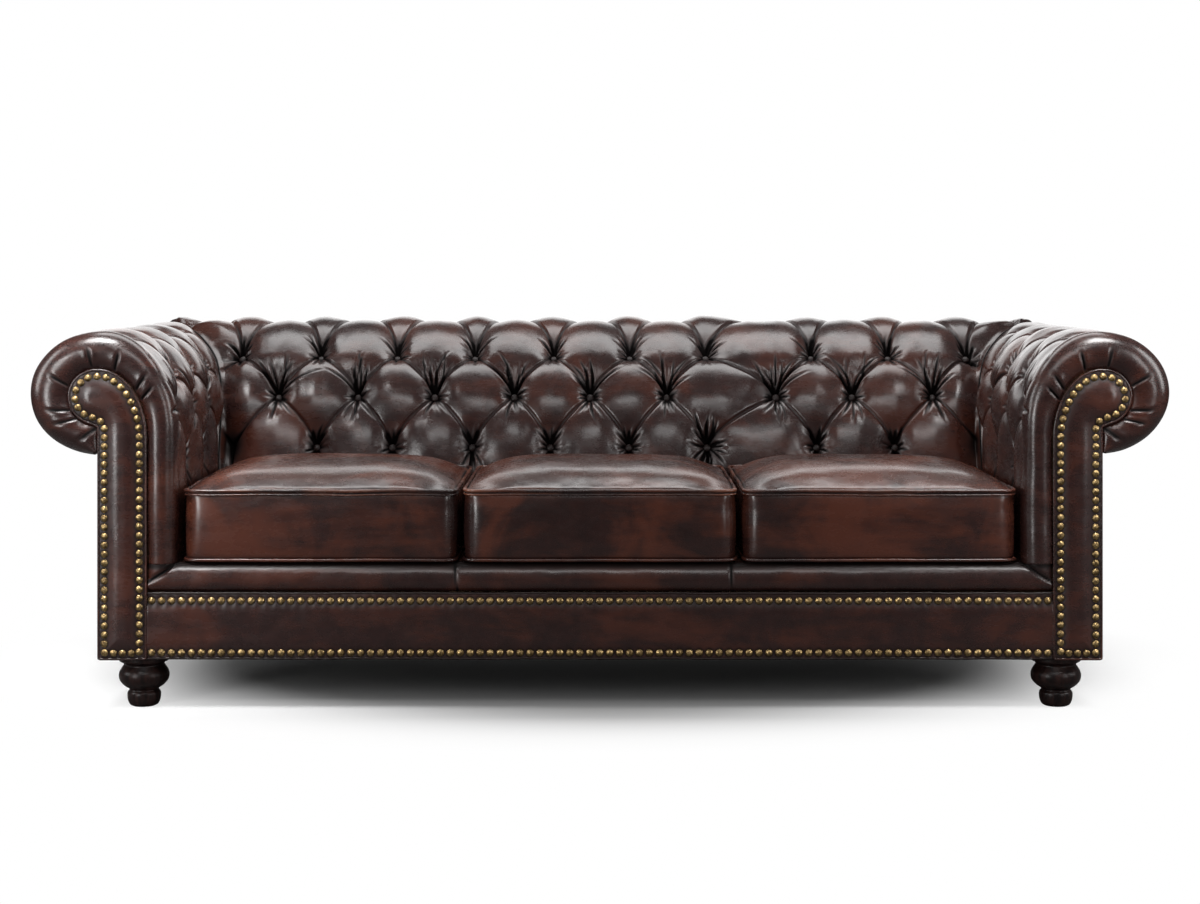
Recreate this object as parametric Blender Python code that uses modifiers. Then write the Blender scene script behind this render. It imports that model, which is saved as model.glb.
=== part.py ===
"""Three-seat chesterfield sofa, modelled as the pieces it is made of.

The sofa stands on z = 0 and is centred on x = 0 and y = 0, in metres. Its front faces -Y.
Arms and back share one idea: a pad that comes up from the seat deck and rolls over a timber
rail. Its outline is drawn in (d, z), where d is the distance outwards from the roll's line:
x = ROLL_X for the arms and y = ROLL_Y for the back.
"""
import math

import bmesh
import bpy
from mathutils import Vector

# Overall places
WIDTH = 2.2410
DEPTH = 0.9400
ARM_ROLL_OUT = 0.1335      # how far an arm roll reaches outside its roll line
BACK_ROLL_OUT = 0.1335
FRONT_Y = -DEPTH / 2       # foremost face, on the heads of the facing nails
ROLL_X = WIDTH / 2 - ARM_ROLL_OUT      # roll line, and outer edge of the facings
ROLL_Y = DEPTH / 2 - BACK_ROLL_OUT
SEAT_GAP = 0.0003          # clearance between pieces that rest on each other
SEAM_GAP = 0.0004          # clearance at the corner seams

# Heights
FOOT_TOP = 0.1000
RAIL_BOTTOM = FOOT_TOP + 0.0035
RAIL_HEIGHT = 0.1265
SPRING_RISE = 0.0320       # from the seat rails' top to the underside of the deck
DECK_THICK = 0.0245
ARM_TOP = 0.7457
BACK_RISE = 0.0063         # the back is as high as the arms, give or take its stuffing
BACK_TOP = ARM_TOP + BACK_RISE
RAIL_TOP = RAIL_BOTTOM + RAIL_HEIGHT
DECK_BOTTOM = RAIL_TOP + SPRING_RISE
DECK_TOP = DECK_BOTTOM + DECK_THICK
PAD_BOTTOM = DECK_TOP + SEAT_GAP

# Space in the pads for the timber
CORE_INNER = 0.0600        # inner wall, from the roll line
CORE_OUTER = 0.0620
CORE_LEAN = 0.1600         # the back board's foot, from the roll line
STUFFING_TOP = 0.0837      # stuffing over the top rails
TOP_RAIL_SPACE = 0.0790
CORE_SLOT = 0.0010
LIP_DROP = 0.0710          # the slot under the roll ends this far below the rail
WOOD_GAP = 0.0008
CORE_TOP = ARM_TOP - STUFFING_TOP
CORE_SHELF = CORE_TOP - TOP_RAIL_SPACE
CORE_LIP_Z = CORE_SHELF - LIP_DROP

# Arm section
ARM_INNER = 0.1530         # how far the inside of an arm lies inside the roll line
ARM_CURVE_HEIGHT = 0.1941  # the inside curves over this last part of its height
ARM_LIP_THICK = 0.0117     # leather and wadding under the roll
ARM_ROLL_HALF_HEIGHT = (ARM_TOP - CORE_LIP_Z + ARM_LIP_THICK) / 2
ARM_BEND_Z = ARM_TOP - ARM_CURVE_HEIGHT

# Back section
BACK_INNER = 0.2500        # how far the inside of the back lies in front of the roll line
BACK_CURVE_HEIGHT = 0.3520
BACK_BELLY_IN = 0.2450     # the curve's handles: the belly of the back, and its shoulder
BACK_BELLY_DROP = 0.2220
BACK_SHOULDER_IN = 0.1400
BACK_LIP_THICK = 0.0060
BACK_ROLL_HALF_HEIGHT = (BACK_TOP - CORE_LIP_Z + BACK_LIP_THICK) / 2
BACK_BEND_Z = BACK_TOP - BACK_CURVE_HEIGHT
ROLL_END_ANGLE = -85       # where the leather under a roll meets the outside panel

# Tufting
HALF_PITCH = 0.0880        # between neighbouring button columns
BACK_FIRST_X = -0.8140     # button column 0 of the back
BACK_WIDE_COLUMN = 12      # the diamond after this column is wider
BACK_WIDE_EXTRA = 0.0670
BACK_COLUMNS = 18
ARM_FIRST_Y = FRONT_Y + 0.1000         # button column 0 of the arms
ARM_FIXED_COLUMNS = 5
PUFF_DEPTH = 0.0200
BUTTON_DEPTH = 0.0120
BUTTON_SPREAD = 0.4        # radius of a button's dimple, in diamonds
PLEAT_ROWS = 5.0           # the straight pleats fade out over this many rows
CORNER_DEPTH = 0.0200
CORNER_OUTER_DEPTH = 0.0040
ARM_ROW_DROPS = (0.0837, 0.1597, 0.2737)    # button rows 1 to 3, below the arm's top
BACK_ROW_DROPS = (0.0700, 0.1610, 0.2775)   # the same, below the back's top
TOP_ROW_INSET = 0.0300     # the hidden top row lies this far inside the roll line
BELOW_ROWS = (4.333, 3.500)
FINE = 3                   # grid steps between two rows, and between two columns
OUTER_STEPS = 8
CORNER_COLUMNS = 4
CORNER_TURNS = 2           # how many of these turn round the outer corner

# Front ends of the arms
RING_FRONT_Y = FRONT_Y + 0.0080
LIP_SHARES = {-8: 0.1, -7: 0.3, -6: 0.5, -5: 0.8}   # the roll's lower lip is pulled in less
RING_STEPS = ((0.0000, 0.0450), (0.0050, 0.0250), (0.0180, 0.0090), (0.0400, 0.0000))

# Facings
FACING_WIDTH = 0.0940
CURL_OUT = 0.0050          # the curl's centre lies this far outside the roll line
CURL_DROP = 0.1293         # and this far below the arm's top
CURL_RADIUS = 0.0530
NECK_DROP = 0.1882
FACING_CURVE_DROP = 0.2137
FACING_THICK = 0.0115
FACING_FRONT_Y = FRONT_Y + 0.0035
FACING_ROUND = 0.0030
BOARD_THICK = 0.0200
BOARD_INSET = 0.0020
CUT_CLEAR = 0.0005
NAIL_INSET = 0.0130
NAIL_BAND = 0.0080
NAIL_PROUD = 0.0032

# Apron and border
APRON_FRONT_Y = FRONT_Y + 0.0130
APRON_THICK = 0.0150
APRON_TOP = RAIL_TOP - 0.0033
APRON_ROUND = 0.0040
NAIL_ROWS = (FOOT_TOP + 0.0125, APRON_TOP - 0.0120)
BORDER_FRONT_Y = FRONT_Y + 0.0110
BORDER_DEPTH = 0.0300
BORDER_ROUND = 0.0120
DUST_COVER_THICK = 0.0020

# Timber
RAIL_THICK = 0.0250
SIDE_RAIL_THICK = 0.0300
POST_SIZE = 0.0380
BOARD_SHEET = 0.0070
BRACE_X = 0.3000
BRACE_HEIGHT = 0.0450
STRUT_X = 0.4500
STRUT_WIDTH = 0.0450
PANEL_THICK = 0.0190

# Springs
SPRING_WIRE = 0.0038
SPRING_X = (-0.7000, -0.4200, -0.1400, 0.1400, 0.4200, 0.7000)
SPRING_HALF_WIDTH = 0.0250
SPRING_PITCH = 0.0600
SPRING_END = 0.0060        # the springs stop this far before the rear rail's back

# Feet
FOOT_X = ROLL_X - 0.0790
FOOT_Y = (FRONT_Y + 0.0640, ROLL_Y - 0.0915)
BOLT_RADIUS = 0.0040
BOLT_GAP = 0.0003
BOLT_BOTTOM = FOOT_TOP - 0.0400
BLOCK_SIZE = 0.0520
BLOCK_TOP = FOOT_TOP + 0.0500
FOOT_PROFILE = (
    (0.0490, FOOT_TOP), (0.0490, FOOT_TOP - 0.0100), (0.0420, FOOT_TOP - 0.0140),
    (0.0395, FOOT_TOP - 0.0180), (0.0440, FOOT_TOP - 0.0250), (0.0490, 0.0620),
    (0.0470, 0.0520), (0.0420, 0.0440), (0.0285, 0.0325), (0.0315, 0.0280),
    (0.0326, 0.0210), (0.0310, 0.0100), (0.0270, 0.0030), (0.0230, 0.0000),
)
FOOT_STEPS = 20
BOLT_STEPS = 10

# Cushions
CUSHION_FRONT_Y = FRONT_Y + 0.0180
CUSHION_SIDE_GAP = 0.0080
CUSHION_BETWEEN = 0.0080
CUSHION_REAR_GAP = 0.0040
CUSHION_SIDE_HEIGHT = 0.1432
CUSHION_CROWN = 0.0380
CUSHION_DRAW_IN = 0.0100
CUSHION_CELLS = (5, 5, 2)
SEAM_CREASE = 0.75         # how sharply the stuffed form keeps its piped seams
FOAM_INSET = 0.0350
ZIP_HEIGHT = 0.0100
CORE_CLEAR = 0.0005
CUSHION_EDGE_Z = PAD_BOTTOM + CUSHION_SIDE_HEIGHT

SMOOTH_UP_TO = 40          # degrees between faces that are shaded as one surface


def clear_scene():
    for thing in list(bpy.data.objects):
        bpy.data.objects.remove(thing, do_unlink=True)


def make_collection(name):
    made = bpy.data.collections.new(name)
    bpy.context.scene.collection.children.link(made)
    return made


def make_material(name, colour, roughness, metallic=0.0):
    material = bpy.data.materials.new(name)
    material.use_nodes = True
    shader = material.node_tree.nodes["Principled BSDF"]
    shader.inputs["Base Color"].default_value = (*colour, 1.0)
    shader.inputs["Roughness"].default_value = roughness
    shader.inputs["Metallic"].default_value = metallic
    material.diffuse_color = (*colour, 1.0)
    return material


clear_scene()
SOFA = make_collection("chesterfield_sofa")
CUTTERS = make_collection("cutters")
LEATHER = make_material("oxblood_leather", (0.060, 0.022, 0.018), 0.32)
TIMBER = make_material("frame_timber", (0.480, 0.330, 0.190), 0.70)
MAHOGANY = make_material("polished_mahogany", (0.018, 0.009, 0.008), 0.22)
BRASS = make_material("antique_brass", (0.420, 0.290, 0.110), 0.35, 1.0)
STEEL = make_material("spring_steel", (0.420, 0.420, 0.430), 0.40, 1.0)
FOAM = make_material("seat_foam", (0.780, 0.740, 0.600), 0.90)
DUST_CLOTH = make_material("dust_cloth", (0.020, 0.020, 0.020), 0.95)
BOARD = make_material("fibre_board", (0.360, 0.240, 0.140), 0.80)


def add_mesh(name, bm, material, collection=SOFA, smooth=False):
    """One closed body from a bmesh, its faces turned outwards."""
    bmesh.ops.recalc_face_normals(bm, faces=bm.faces)
    if bm.calc_volume(signed=True) < 0:
        bmesh.ops.reverse_faces(bm, faces=bm.faces)
    mesh = bpy.data.meshes.new(name)
    bm.to_mesh(mesh)
    bm.free()
    if smooth:
        mesh.shade_smooth()
        mesh.set_sharp_from_angle(angle=math.radians(SMOOTH_UP_TO))
    body = bpy.data.objects.new(name, mesh)
    if material:
        body.data.materials.append(material)
    collection.objects.link(body)
    return body


def add_box(name, xs, ys, zs, material, collection=SOFA):
    """A rectangular piece between two values on each axis."""
    bm = bmesh.new()
    bmesh.ops.create_cube(bm, size=1.0)
    size = [abs(pair[1] - pair[0]) for pair in (xs, ys, zs)]
    middle = [(pair[0] + pair[1]) / 2 for pair in (xs, ys, zs)]
    bmesh.ops.scale(bm, vec=size, verts=bm.verts)
    body = add_mesh(name, bm, material, collection)
    body.location = middle
    return body


def soften(body, width, segments=1):
    modifier = body.modifiers.new("rounded edges", "BEVEL")
    modifier.width = width
    modifier.segments = segments
    modifier.limit_method = "ANGLE"


def as_mesh(source, name, material, collection=SOFA):
    """The evaluated curve as a mesh object with its caps welded."""
    bpy.context.view_layer.update()
    graph = bpy.context.evaluated_depsgraph_get()
    mesh = bpy.data.meshes.new_from_object(source.evaluated_get(graph))
    matrix = source.matrix_world.copy()
    bpy.data.objects.remove(source, do_unlink=True)
    bm = bmesh.new()
    bm.from_mesh(mesh)
    bmesh.ops.remove_doubles(bm, verts=bm.verts, dist=0.00005)
    bmesh.ops.recalc_face_normals(bm, faces=bm.faces)
    if bm.calc_volume(signed=True) < 0:
        bmesh.ops.reverse_faces(bm, faces=bm.faces)
    bm.to_mesh(mesh)
    bm.free()
    mesh.name = name
    mesh.materials.clear()
    if material:
        mesh.materials.append(material)
    body = bpy.data.objects.new(name, mesh)
    body.matrix_world = matrix
    collection.objects.link(body)
    return body


def flat_outline(name, outlines, thickness, material, collection=SOFA):
    """A flat piece from closed outlines in its own XY plane, extruded along its Z."""
    curve = bpy.data.curves.new(name, "CURVE")
    curve.dimensions = "2D"
    curve.fill_mode = "BOTH"
    curve.extrude = thickness / 2
    for outline in outlines:
        spline = curve.splines.new("POLY")
        spline.points.add(len(outline) - 1)
        for point, (across, up) in zip(spline.points, outline):
            point.co = (across, up, 0.0, 1.0)
        spline.use_cyclic_u = True
    body = bpy.data.objects.new(name, curve)
    collection.objects.link(body)
    return as_mesh(body, name, material, collection)


def stand_up(body, y_middle):
    """Turns a flat piece upright: its XY plane becomes XZ and its thickness runs along Y."""
    body.rotation_euler = (math.radians(90), 0.0, 0.0)
    body.location = (0.0, y_middle, 0.0)
    return body


def arc(centre, radii, start, end, steps):
    points = []
    for index in range(steps + 1):
        angle = math.radians(start + (end - start) * index / steps)
        points.append((centre[0] + radii[0] * math.cos(angle), centre[1] + radii[1] * math.sin(angle)))
    return points


def offset_outline(points, distance):
    """The closed outline moved outwards by a distance (inwards if it is negative)."""
    area = sum(a[0] * b[1] - b[0] * a[1] for a, b in zip(points, points[1:] + points[:1])) / 2
    turn = 1.0 if area > 0 else -1.0
    moved = []
    for index, point in enumerate(points):
        before = Vector(point) - Vector(points[index - 1])
        after = Vector(points[(index + 1) % len(points)]) - Vector(point)
        normal_before = Vector((before.y, -before.x)).normalized() * turn
        normal_after = Vector((after.y, -after.x)).normalized() * turn
        bisector = (normal_before + normal_after).normalized()
        reach = distance / max(0.35, bisector.dot(normal_before))
        moved.append(tuple(Vector(point) + bisector * reach))
    return moved


# Sections of the pads
def bezier(points, steps):
    found = []
    for index in range(steps + 1):
        t = index / steps
        weights = ((1 - t) ** 3, 3 * (1 - t) ** 2 * t, 3 * (1 - t) * t ** 2, t ** 3)
        found.append(tuple(sum(w * p[axis] for w, p in zip(weights, points)) for axis in (0, 1)))
    return found


def arm_outline():
    """The arm from the deck up its inside, over the roll and under it, in (d, z)."""
    lower = [(-ARM_INNER, PAD_BOTTOM + (ARM_BEND_Z - PAD_BOTTOM) * i / 8) for i in range(8)]
    inside = arc((0.0, ARM_BEND_Z), (ARM_INNER, ARM_TOP - ARM_BEND_Z), 180, 90, 24)
    centre = (0.0, ARM_TOP - ARM_ROLL_HALF_HEIGHT)
    outside = arc(centre, (ARM_ROLL_OUT, ARM_ROLL_HALF_HEIGHT), 90, ROLL_END_ANGLE, 48)
    return lower + inside + outside[1:]


def back_outline():
    lower = [(-BACK_INNER, PAD_BOTTOM + (BACK_BEND_Z - PAD_BOTTOM) * i / 4) for i in range(4)]
    belly = (-BACK_BELLY_IN, BACK_TOP - BACK_BELLY_DROP)
    frame = ((-BACK_INNER, BACK_BEND_Z), belly, (-BACK_SHOULDER_IN, BACK_TOP), (0.0, BACK_TOP))
    inside = bezier(frame, 32)
    centre = (0.0, BACK_TOP - BACK_ROLL_HALF_HEIGHT)
    outside = arc(centre, (BACK_ROLL_OUT, BACK_ROLL_HALF_HEIGHT), 90, ROLL_END_ANGLE, 48)
    return lower + inside + outside[1:]


def section_rows(outline, top, row_drops):
    """Points and outward normals of an outline at each grid row: (row, d, z, nd, nz)."""
    lengths = [0.0]
    for a, b in zip(outline, outline[1:]):
        lengths.append(lengths[-1] + math.dist(a, b))

    def length_where(test):
        return next(lengths[i] for i, point in enumerate(outline) if test(point))

    marks = {BELOW_ROWS[0]: 0.0}
    for row, drop in enumerate(row_drops, start=1):
        marks[row] = length_where(lambda point, height=top - drop: point[1] >= height)
    marks[0] = length_where(lambda point: point[0] >= -TOP_ROW_INSET)
    marks[-1] = length_where(lambda point: point[0] >= -1e-6)
    widest = max(point[0] for point in outline)
    marks[-OUTER_STEPS // 2] = length_where(lambda point: point[0] >= widest - 1e-6)
    marks[-OUTER_STEPS] = lengths[-1]
    known = sorted(marks, reverse=True)
    rows = list(BELOW_ROWS) + [3 - i / FINE for i in range(3 * FINE + 1)]
    rows += [-1 - i for i in range(OUTER_STEPS)]
    found = []
    for row in rows:
        high = next(k for k in reversed(known) if k >= row - 1e-9)
        low = next(k for k in known if k <= row + 1e-9)
        share = 0.0 if high == low else (high - row) / (high - low)
        length = marks[high] + (marks[low] - marks[high]) * share
        index = min(max(1, next((i for i, l in enumerate(lengths) if l >= length), 1)), len(outline) - 1)
        a, b = outline[index - 1], outline[index]
        part = (length - lengths[index - 1]) / (lengths[index] - lengths[index - 1])
        place = [a[axis] + (b[axis] - a[axis]) * part for axis in (0, 1)]
        first, last = outline[max(0, index - 2)], outline[min(len(outline) - 1, index + 1)]
        along = Vector((last[0] - first[0], last[1] - first[1])).normalized()
        found.append((row, place[0], place[1], -along.y, along.x))
    return found


ARM_ROWS = section_rows(arm_outline(), ARM_TOP, ARM_ROW_DROPS)
BACK_ROWS = section_rows(back_outline(), BACK_TOP, BACK_ROW_DROPS)
TOP_INDEX = len(BELOW_ROWS) + 3 * FINE


def core_points(lean):
    """The wall of the space for the timber, one point for each grid row, in (d, z)."""
    last_wall = TOP_INDEX - 2
    points = []
    for index in range(last_wall):
        share = index / (last_wall - 1)
        height = PAD_BOTTOM + (CORE_SHELF - PAD_BOTTOM) * share
        points.append((-CORE_INNER - (lean - CORE_INNER) * (1 - share), height))
    points += [(-CORE_INNER, CORE_TOP), (-CORE_INNER / 2, CORE_TOP), (0.0, CORE_TOP)]
    points += [(CORE_OUTER / 2, CORE_TOP), (CORE_OUTER, CORE_TOP)]
    drop = (CORE_TOP - CORE_SHELF) / 4
    points += [(CORE_OUTER, CORE_TOP - drop * step) for step in (1, 2, 3, 4)]
    points += [(CORE_SLOT, CORE_SHELF), (CORE_SLOT, CORE_LIP_Z)]
    return points


ARM_CORE = core_points(CORE_INNER)
BACK_CORE = core_points(CORE_LEAN)


def tuft_depth(column, row):
    """How far the surface lies below the tops of the diamonds, at a place on the lattice.

    A button sits where (column + row) / 2 and (column - row) / 2 are both whole numbers, and the
    folds run where either is. Past the outer rows the folds become straight pleats.
    """
    held = min(max(row, 0.0), 3.0)
    a = (column + held) / 2
    b = (column - held) / 2
    swell = math.sqrt(abs(math.sin(math.pi * a) * math.sin(math.pi * b)))
    away = abs(row - held)
    depth = PUFF_DEPTH * (1 - swell) * max(0.0, 1 - away / PLEAT_ROWS)
    button = max(0.0, 1 - math.hypot(a - round(a), b - round(b)) / BUTTON_SPREAD - away)
    return depth + BUTTON_DEPTH * button


def corner_depth(row):
    """The sunk seam where arm and back meet, shallower round the outside."""
    return CORNER_DEPTH if row >= 0 else CORNER_OUTER_DEPTH


def displaced(section, depth):
    _, d, z, nd, nz = section
    return d - nd * depth, z - nz * depth


def corner_ring(index):
    """Where the arm's and the back's pads meet: surface and core points of one grid row."""
    row = ARM_ROWS[index][0]
    arm_d, arm_z = displaced(ARM_ROWS[index], corner_depth(row))
    back_d, back_z = displaced(BACK_ROWS[index], corner_depth(row))
    z = (arm_z + back_z) / 2
    if arm_d > 0 and back_d > 0:
        out = (arm_d + back_d) / 2 * math.sqrt(0.5)
        surface = (ROLL_X + out, ROLL_Y + out, z)
    else:
        surface = (ROLL_X + arm_d, ROLL_Y + back_d, z)
    core = (ROLL_X + ARM_CORE[index][0], ROLL_Y + BACK_CORE[index][0], ARM_CORE[index][1])
    return surface, core


def grid_body(name, surface, front_core, rear_core, creases, material):
    """A pad from its outer grid and the two ends of its core, closed on every side.

    surface[column][row] are the outer points; creases(column, row) says which way a cell folds.
    """
    bm = bmesh.new()
    outer = [[bm.verts.new(point) for point in column] for column in surface]
    inner = [[bm.verts.new(point) for point in column] for column in (front_core, rear_core)]
    rows = len(surface[0])
    for i in range(len(surface) - 1):
        for j in range(rows - 1):
            a, b = outer[i][j], outer[i + 1][j]
            c, d = outer[i + 1][j + 1], outer[i][j + 1]
            if creases(i, j):
                bm.faces.new((a, b, c))
                bm.faces.new((a, c, d))
            else:
                bm.faces.new((a, b, d))
                bm.faces.new((b, c, d))
    for j in range(rows - 1):
        bm.faces.new((inner[0][j], inner[0][j + 1], inner[1][j + 1], inner[1][j]))
        for end, core in ((outer[0], inner[0]), (outer[-1], inner[1])):
            bm.faces.new((end[j], core[j], core[j + 1]))
            bm.faces.new((end[j], core[j + 1], end[j + 1]))
    bm.faces.new([column[0] for column in outer] + [inner[1][0], inner[0][0]])
    bm.faces.new([column[-1] for column in reversed(outer)] + [inner[0][-1], inner[1][-1]])
    return add_mesh(name, bm, material, smooth=True)


def lattice_fold(columns, rows):
    """Says for each grid cell which way it folds, so that the diamonds' creases are edges."""
    def fold(i, j):
        across = round(columns[i] * FINE) if columns[i] is not None else 0
        up = round(rows[j] * FINE)
        return (across + up) % (2 * FINE) == 0 or (across - up + 1) % (2 * FINE) != 0
    return fold


def corner_share(index, step):
    """Share of the way to the corner, and the turn in degrees, of one of the last columns."""
    straight = CORNER_COLUMNS - CORNER_TURNS
    if index <= TOP_INDEX:
        return (step + 1) / CORNER_COLUMNS, 0.0
    if step < straight:
        return (step + 1) / straight, 0.0
    return 1.0, 45.0 * (step + 1 - straight) / CORNER_TURNS


def corner_column(sections, index, step, start, column_at, roll_line, ends):
    """(along, out, z) of one point between the last button column and the corner.

    along runs with the roll, out is measured from roll_line; both turn round the corner outside.
    """
    share, turn = corner_share(index, step)
    along = start + (ends[index] - start) * share
    row = sections[index][0]
    blend = (step + 1) / CORNER_COLUMNS
    depth = tuft_depth(column_at(along), row) * (1 - blend) + corner_depth(row) * blend
    d, z = displaced(sections[index], depth)
    swing = math.radians(turn)
    return along + d * math.sin(swing), roll_line + d * math.cos(swing), z


def arm_pad(side, name):
    """An arm's tufted pad, from its rounded front ring to the seam with the back."""
    rows = [section[0] for section in ARM_ROWS]
    columns, surface = [], []
    for forward, inset in RING_STEPS:
        y = RING_FRONT_Y + forward
        share = forward / RING_STEPS[-1][0]
        ring = []
        for section in ARM_ROWS:
            lip = LIP_SHARES.get(section[0], 1.0)
            depth = inset * lip + tuft_depth((y - ARM_FIRST_Y) / HALF_PITCH, section[0]) * share
            d, z = displaced(section, depth)
            ring.append((ROLL_X + d, y, z))
        surface.append(ring)
        columns.append(None)
    for step in range(-1, ARM_FIXED_COLUMNS * FINE):
        column = step / FINE
        y = ARM_FIRST_Y + column * HALF_PITCH
        line = []
        for section in ARM_ROWS:
            d, z = displaced(section, tuft_depth(column, section[0]))
            line.append((ROLL_X + d, y, z))
        surface.append(line)
        columns.append(column)
    ends = [ROLL_Y + min(0.0, section[1]) for section in BACK_ROWS]
    start = surface[-1][0][1]
    for step in range(CORNER_COLUMNS - 1):
        line = []
        for index in range(len(ARM_ROWS)):
            y, x, z = corner_column(ARM_ROWS, index, step, start,
                                    lambda y: (y - ARM_FIRST_Y) / HALF_PITCH, ROLL_X, ends)
            line.append((x, y, z))
        surface.append(line)
        columns.append(None)
    corner = [corner_ring(index) for index in range(len(ARM_ROWS))]
    surface.append([(p[0], p[1] - SEAM_GAP, p[2]) for p, _ in corner])
    columns.append(None)
    front_core = [(ROLL_X + d, RING_FRONT_Y, z) for d, z in ARM_CORE]
    rear_core = [(q[0], q[1] - SEAM_GAP, q[2]) for _, q in corner]

    def place(points):
        return [(side * x, y, z) for x, y, z in points]

    return grid_body(name, [place(line) for line in surface], place(front_core), place(rear_core),
                     lattice_fold(columns, rows), LEATHER)


def back_x(column):
    wide = min(max(column - BACK_WIDE_COLUMN, 0.0), 1.0)
    return BACK_FIRST_X + HALF_PITCH * column + BACK_WIDE_EXTRA * wide


def back_column(x):
    """The inverse of back_x."""
    along = x - BACK_FIRST_X
    wide_start = HALF_PITCH * BACK_WIDE_COLUMN
    wide_end = wide_start + HALF_PITCH + BACK_WIDE_EXTRA
    if along <= wide_start:
        return along / HALF_PITCH
    if along >= wide_end:
        return (along - BACK_WIDE_EXTRA) / HALF_PITCH
    return BACK_WIDE_COLUMN + (along - wide_start) / (HALF_PITCH + BACK_WIDE_EXTRA)


def back_pad(name):
    """The back's tufted pad between the two corner seams."""
    rows = [section[0] for section in BACK_ROWS]
    corner = [corner_ring(index) for index in range(len(BACK_ROWS))]
    ends = [ROLL_X + min(0.0, section[1]) for section in ARM_ROWS]
    first = 2 / FINE
    middle, columns = [], []
    for step in range(round(first * FINE), round((BACK_COLUMNS - first) * FINE) + 1):
        column = step / FINE
        line = []
        for section in BACK_ROWS:
            d, z = displaced(section, tuft_depth(column + 1, section[0]))
            line.append((back_x(column), ROLL_Y + d, z))
        middle.append(line)
        columns.append(column + 1)
    sides = {}
    for side in (-1, 1):
        start = side * (middle[0] if side < 0 else middle[-1])[0][0]
        lines = []
        for step in range(CORNER_COLUMNS - 1):
            line = []
            for index in range(len(BACK_ROWS)):
                x, y, z = corner_column(BACK_ROWS, index, step, start,
                                        lambda x, side=side: back_column(side * x) + 1, ROLL_Y, ends)
                line.append((side * x, y, z))
            lines.append(line)
        lines.append([(side * (p[0] - SEAM_GAP), p[1], p[2]) for p, _ in corner])
        sides[side] = lines
    surface = sides[-1][::-1] + middle + sides[1]
    blank = [None] * CORNER_COLUMNS
    cores = {side: [(side * (q[0] - SEAM_GAP), q[1], q[2]) for _, q in corner] for side in (-1, 1)}
    return grid_body(name, surface, cores[-1], cores[1],
                     lattice_fold(blank + columns + blank, rows), LEATHER)


def facing_outline():
    """The scroll-shaped front of an arm, in (d, z): bottom edge, neck, curl and inner edge."""
    points = [(0.0, FOOT_TOP), (0.0, ARM_TOP - NECK_DROP)]
    centre = (CURL_OUT, ARM_TOP - CURL_DROP)
    points += arc(centre, (CURL_RADIUS, CURL_RADIUS), -78, 84, 14)
    bend = ARM_TOP - FACING_CURVE_DROP
    points += arc((0.0, bend), (FACING_WIDTH, centre[1] + CURL_RADIUS - bend), 88, 180, 10)
    points.append((-FACING_WIDTH, FOOT_TOP))
    return points


def facing_piece(side, name, inset, front, thickness, material, collection=SOFA):
    """An upright plate with the facing's outline, made smaller by inset."""
    outline = offset_outline(facing_outline(), -inset)
    placed = [(side * (ROLL_X + d), z) for d, z in outline]
    plate = flat_outline(name, [placed], thickness, material, collection)
    return stand_up(plate, front + thickness / 2)


def nail_band(side, name):
    """The narrow welt that carries the nails, all round a facing."""
    outer = offset_outline(facing_outline(), -(NAIL_INSET - NAIL_BAND / 2))
    inner = offset_outline(facing_outline(), -(NAIL_INSET + NAIL_BAND / 2))
    rings = [[(side * (ROLL_X + d), z) for d, z in ring] for ring in (outer, inner)]
    band = flat_outline(name, rings, NAIL_PROUD, BRASS)
    return stand_up(band, FACING_FRONT_Y - SEAT_GAP - NAIL_PROUD / 2)


def subtract(body, cutter):
    modifier = body.modifiers.new("cut", "BOOLEAN")
    modifier.operation = "DIFFERENCE"
    modifier.object = cutter
    cutter.hide_render = True
    cutter.display_type = "WIRE"


def turned(name, profile, steps, material, place):
    """A turned piece from a profile that runs down its outer side, in (radius, z)."""
    mesh = bpy.data.meshes.new(name)
    edges = [(i, i + 1) for i in range(len(profile) - 1)]
    mesh.from_pydata([(radius, 0.0, z) for radius, z in profile], edges, [])
    body = bpy.data.objects.new(name, mesh)
    body.data.materials.append(material)
    SOFA.objects.link(body)
    body.location = place
    screw = body.modifiers.new("turned", "SCREW")
    screw.steps = steps
    screw.render_steps = steps
    screw.use_merge_vertices = True
    screw.merge_threshold = 0.0001
    screw.use_smooth_shade = True
    return body


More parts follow.
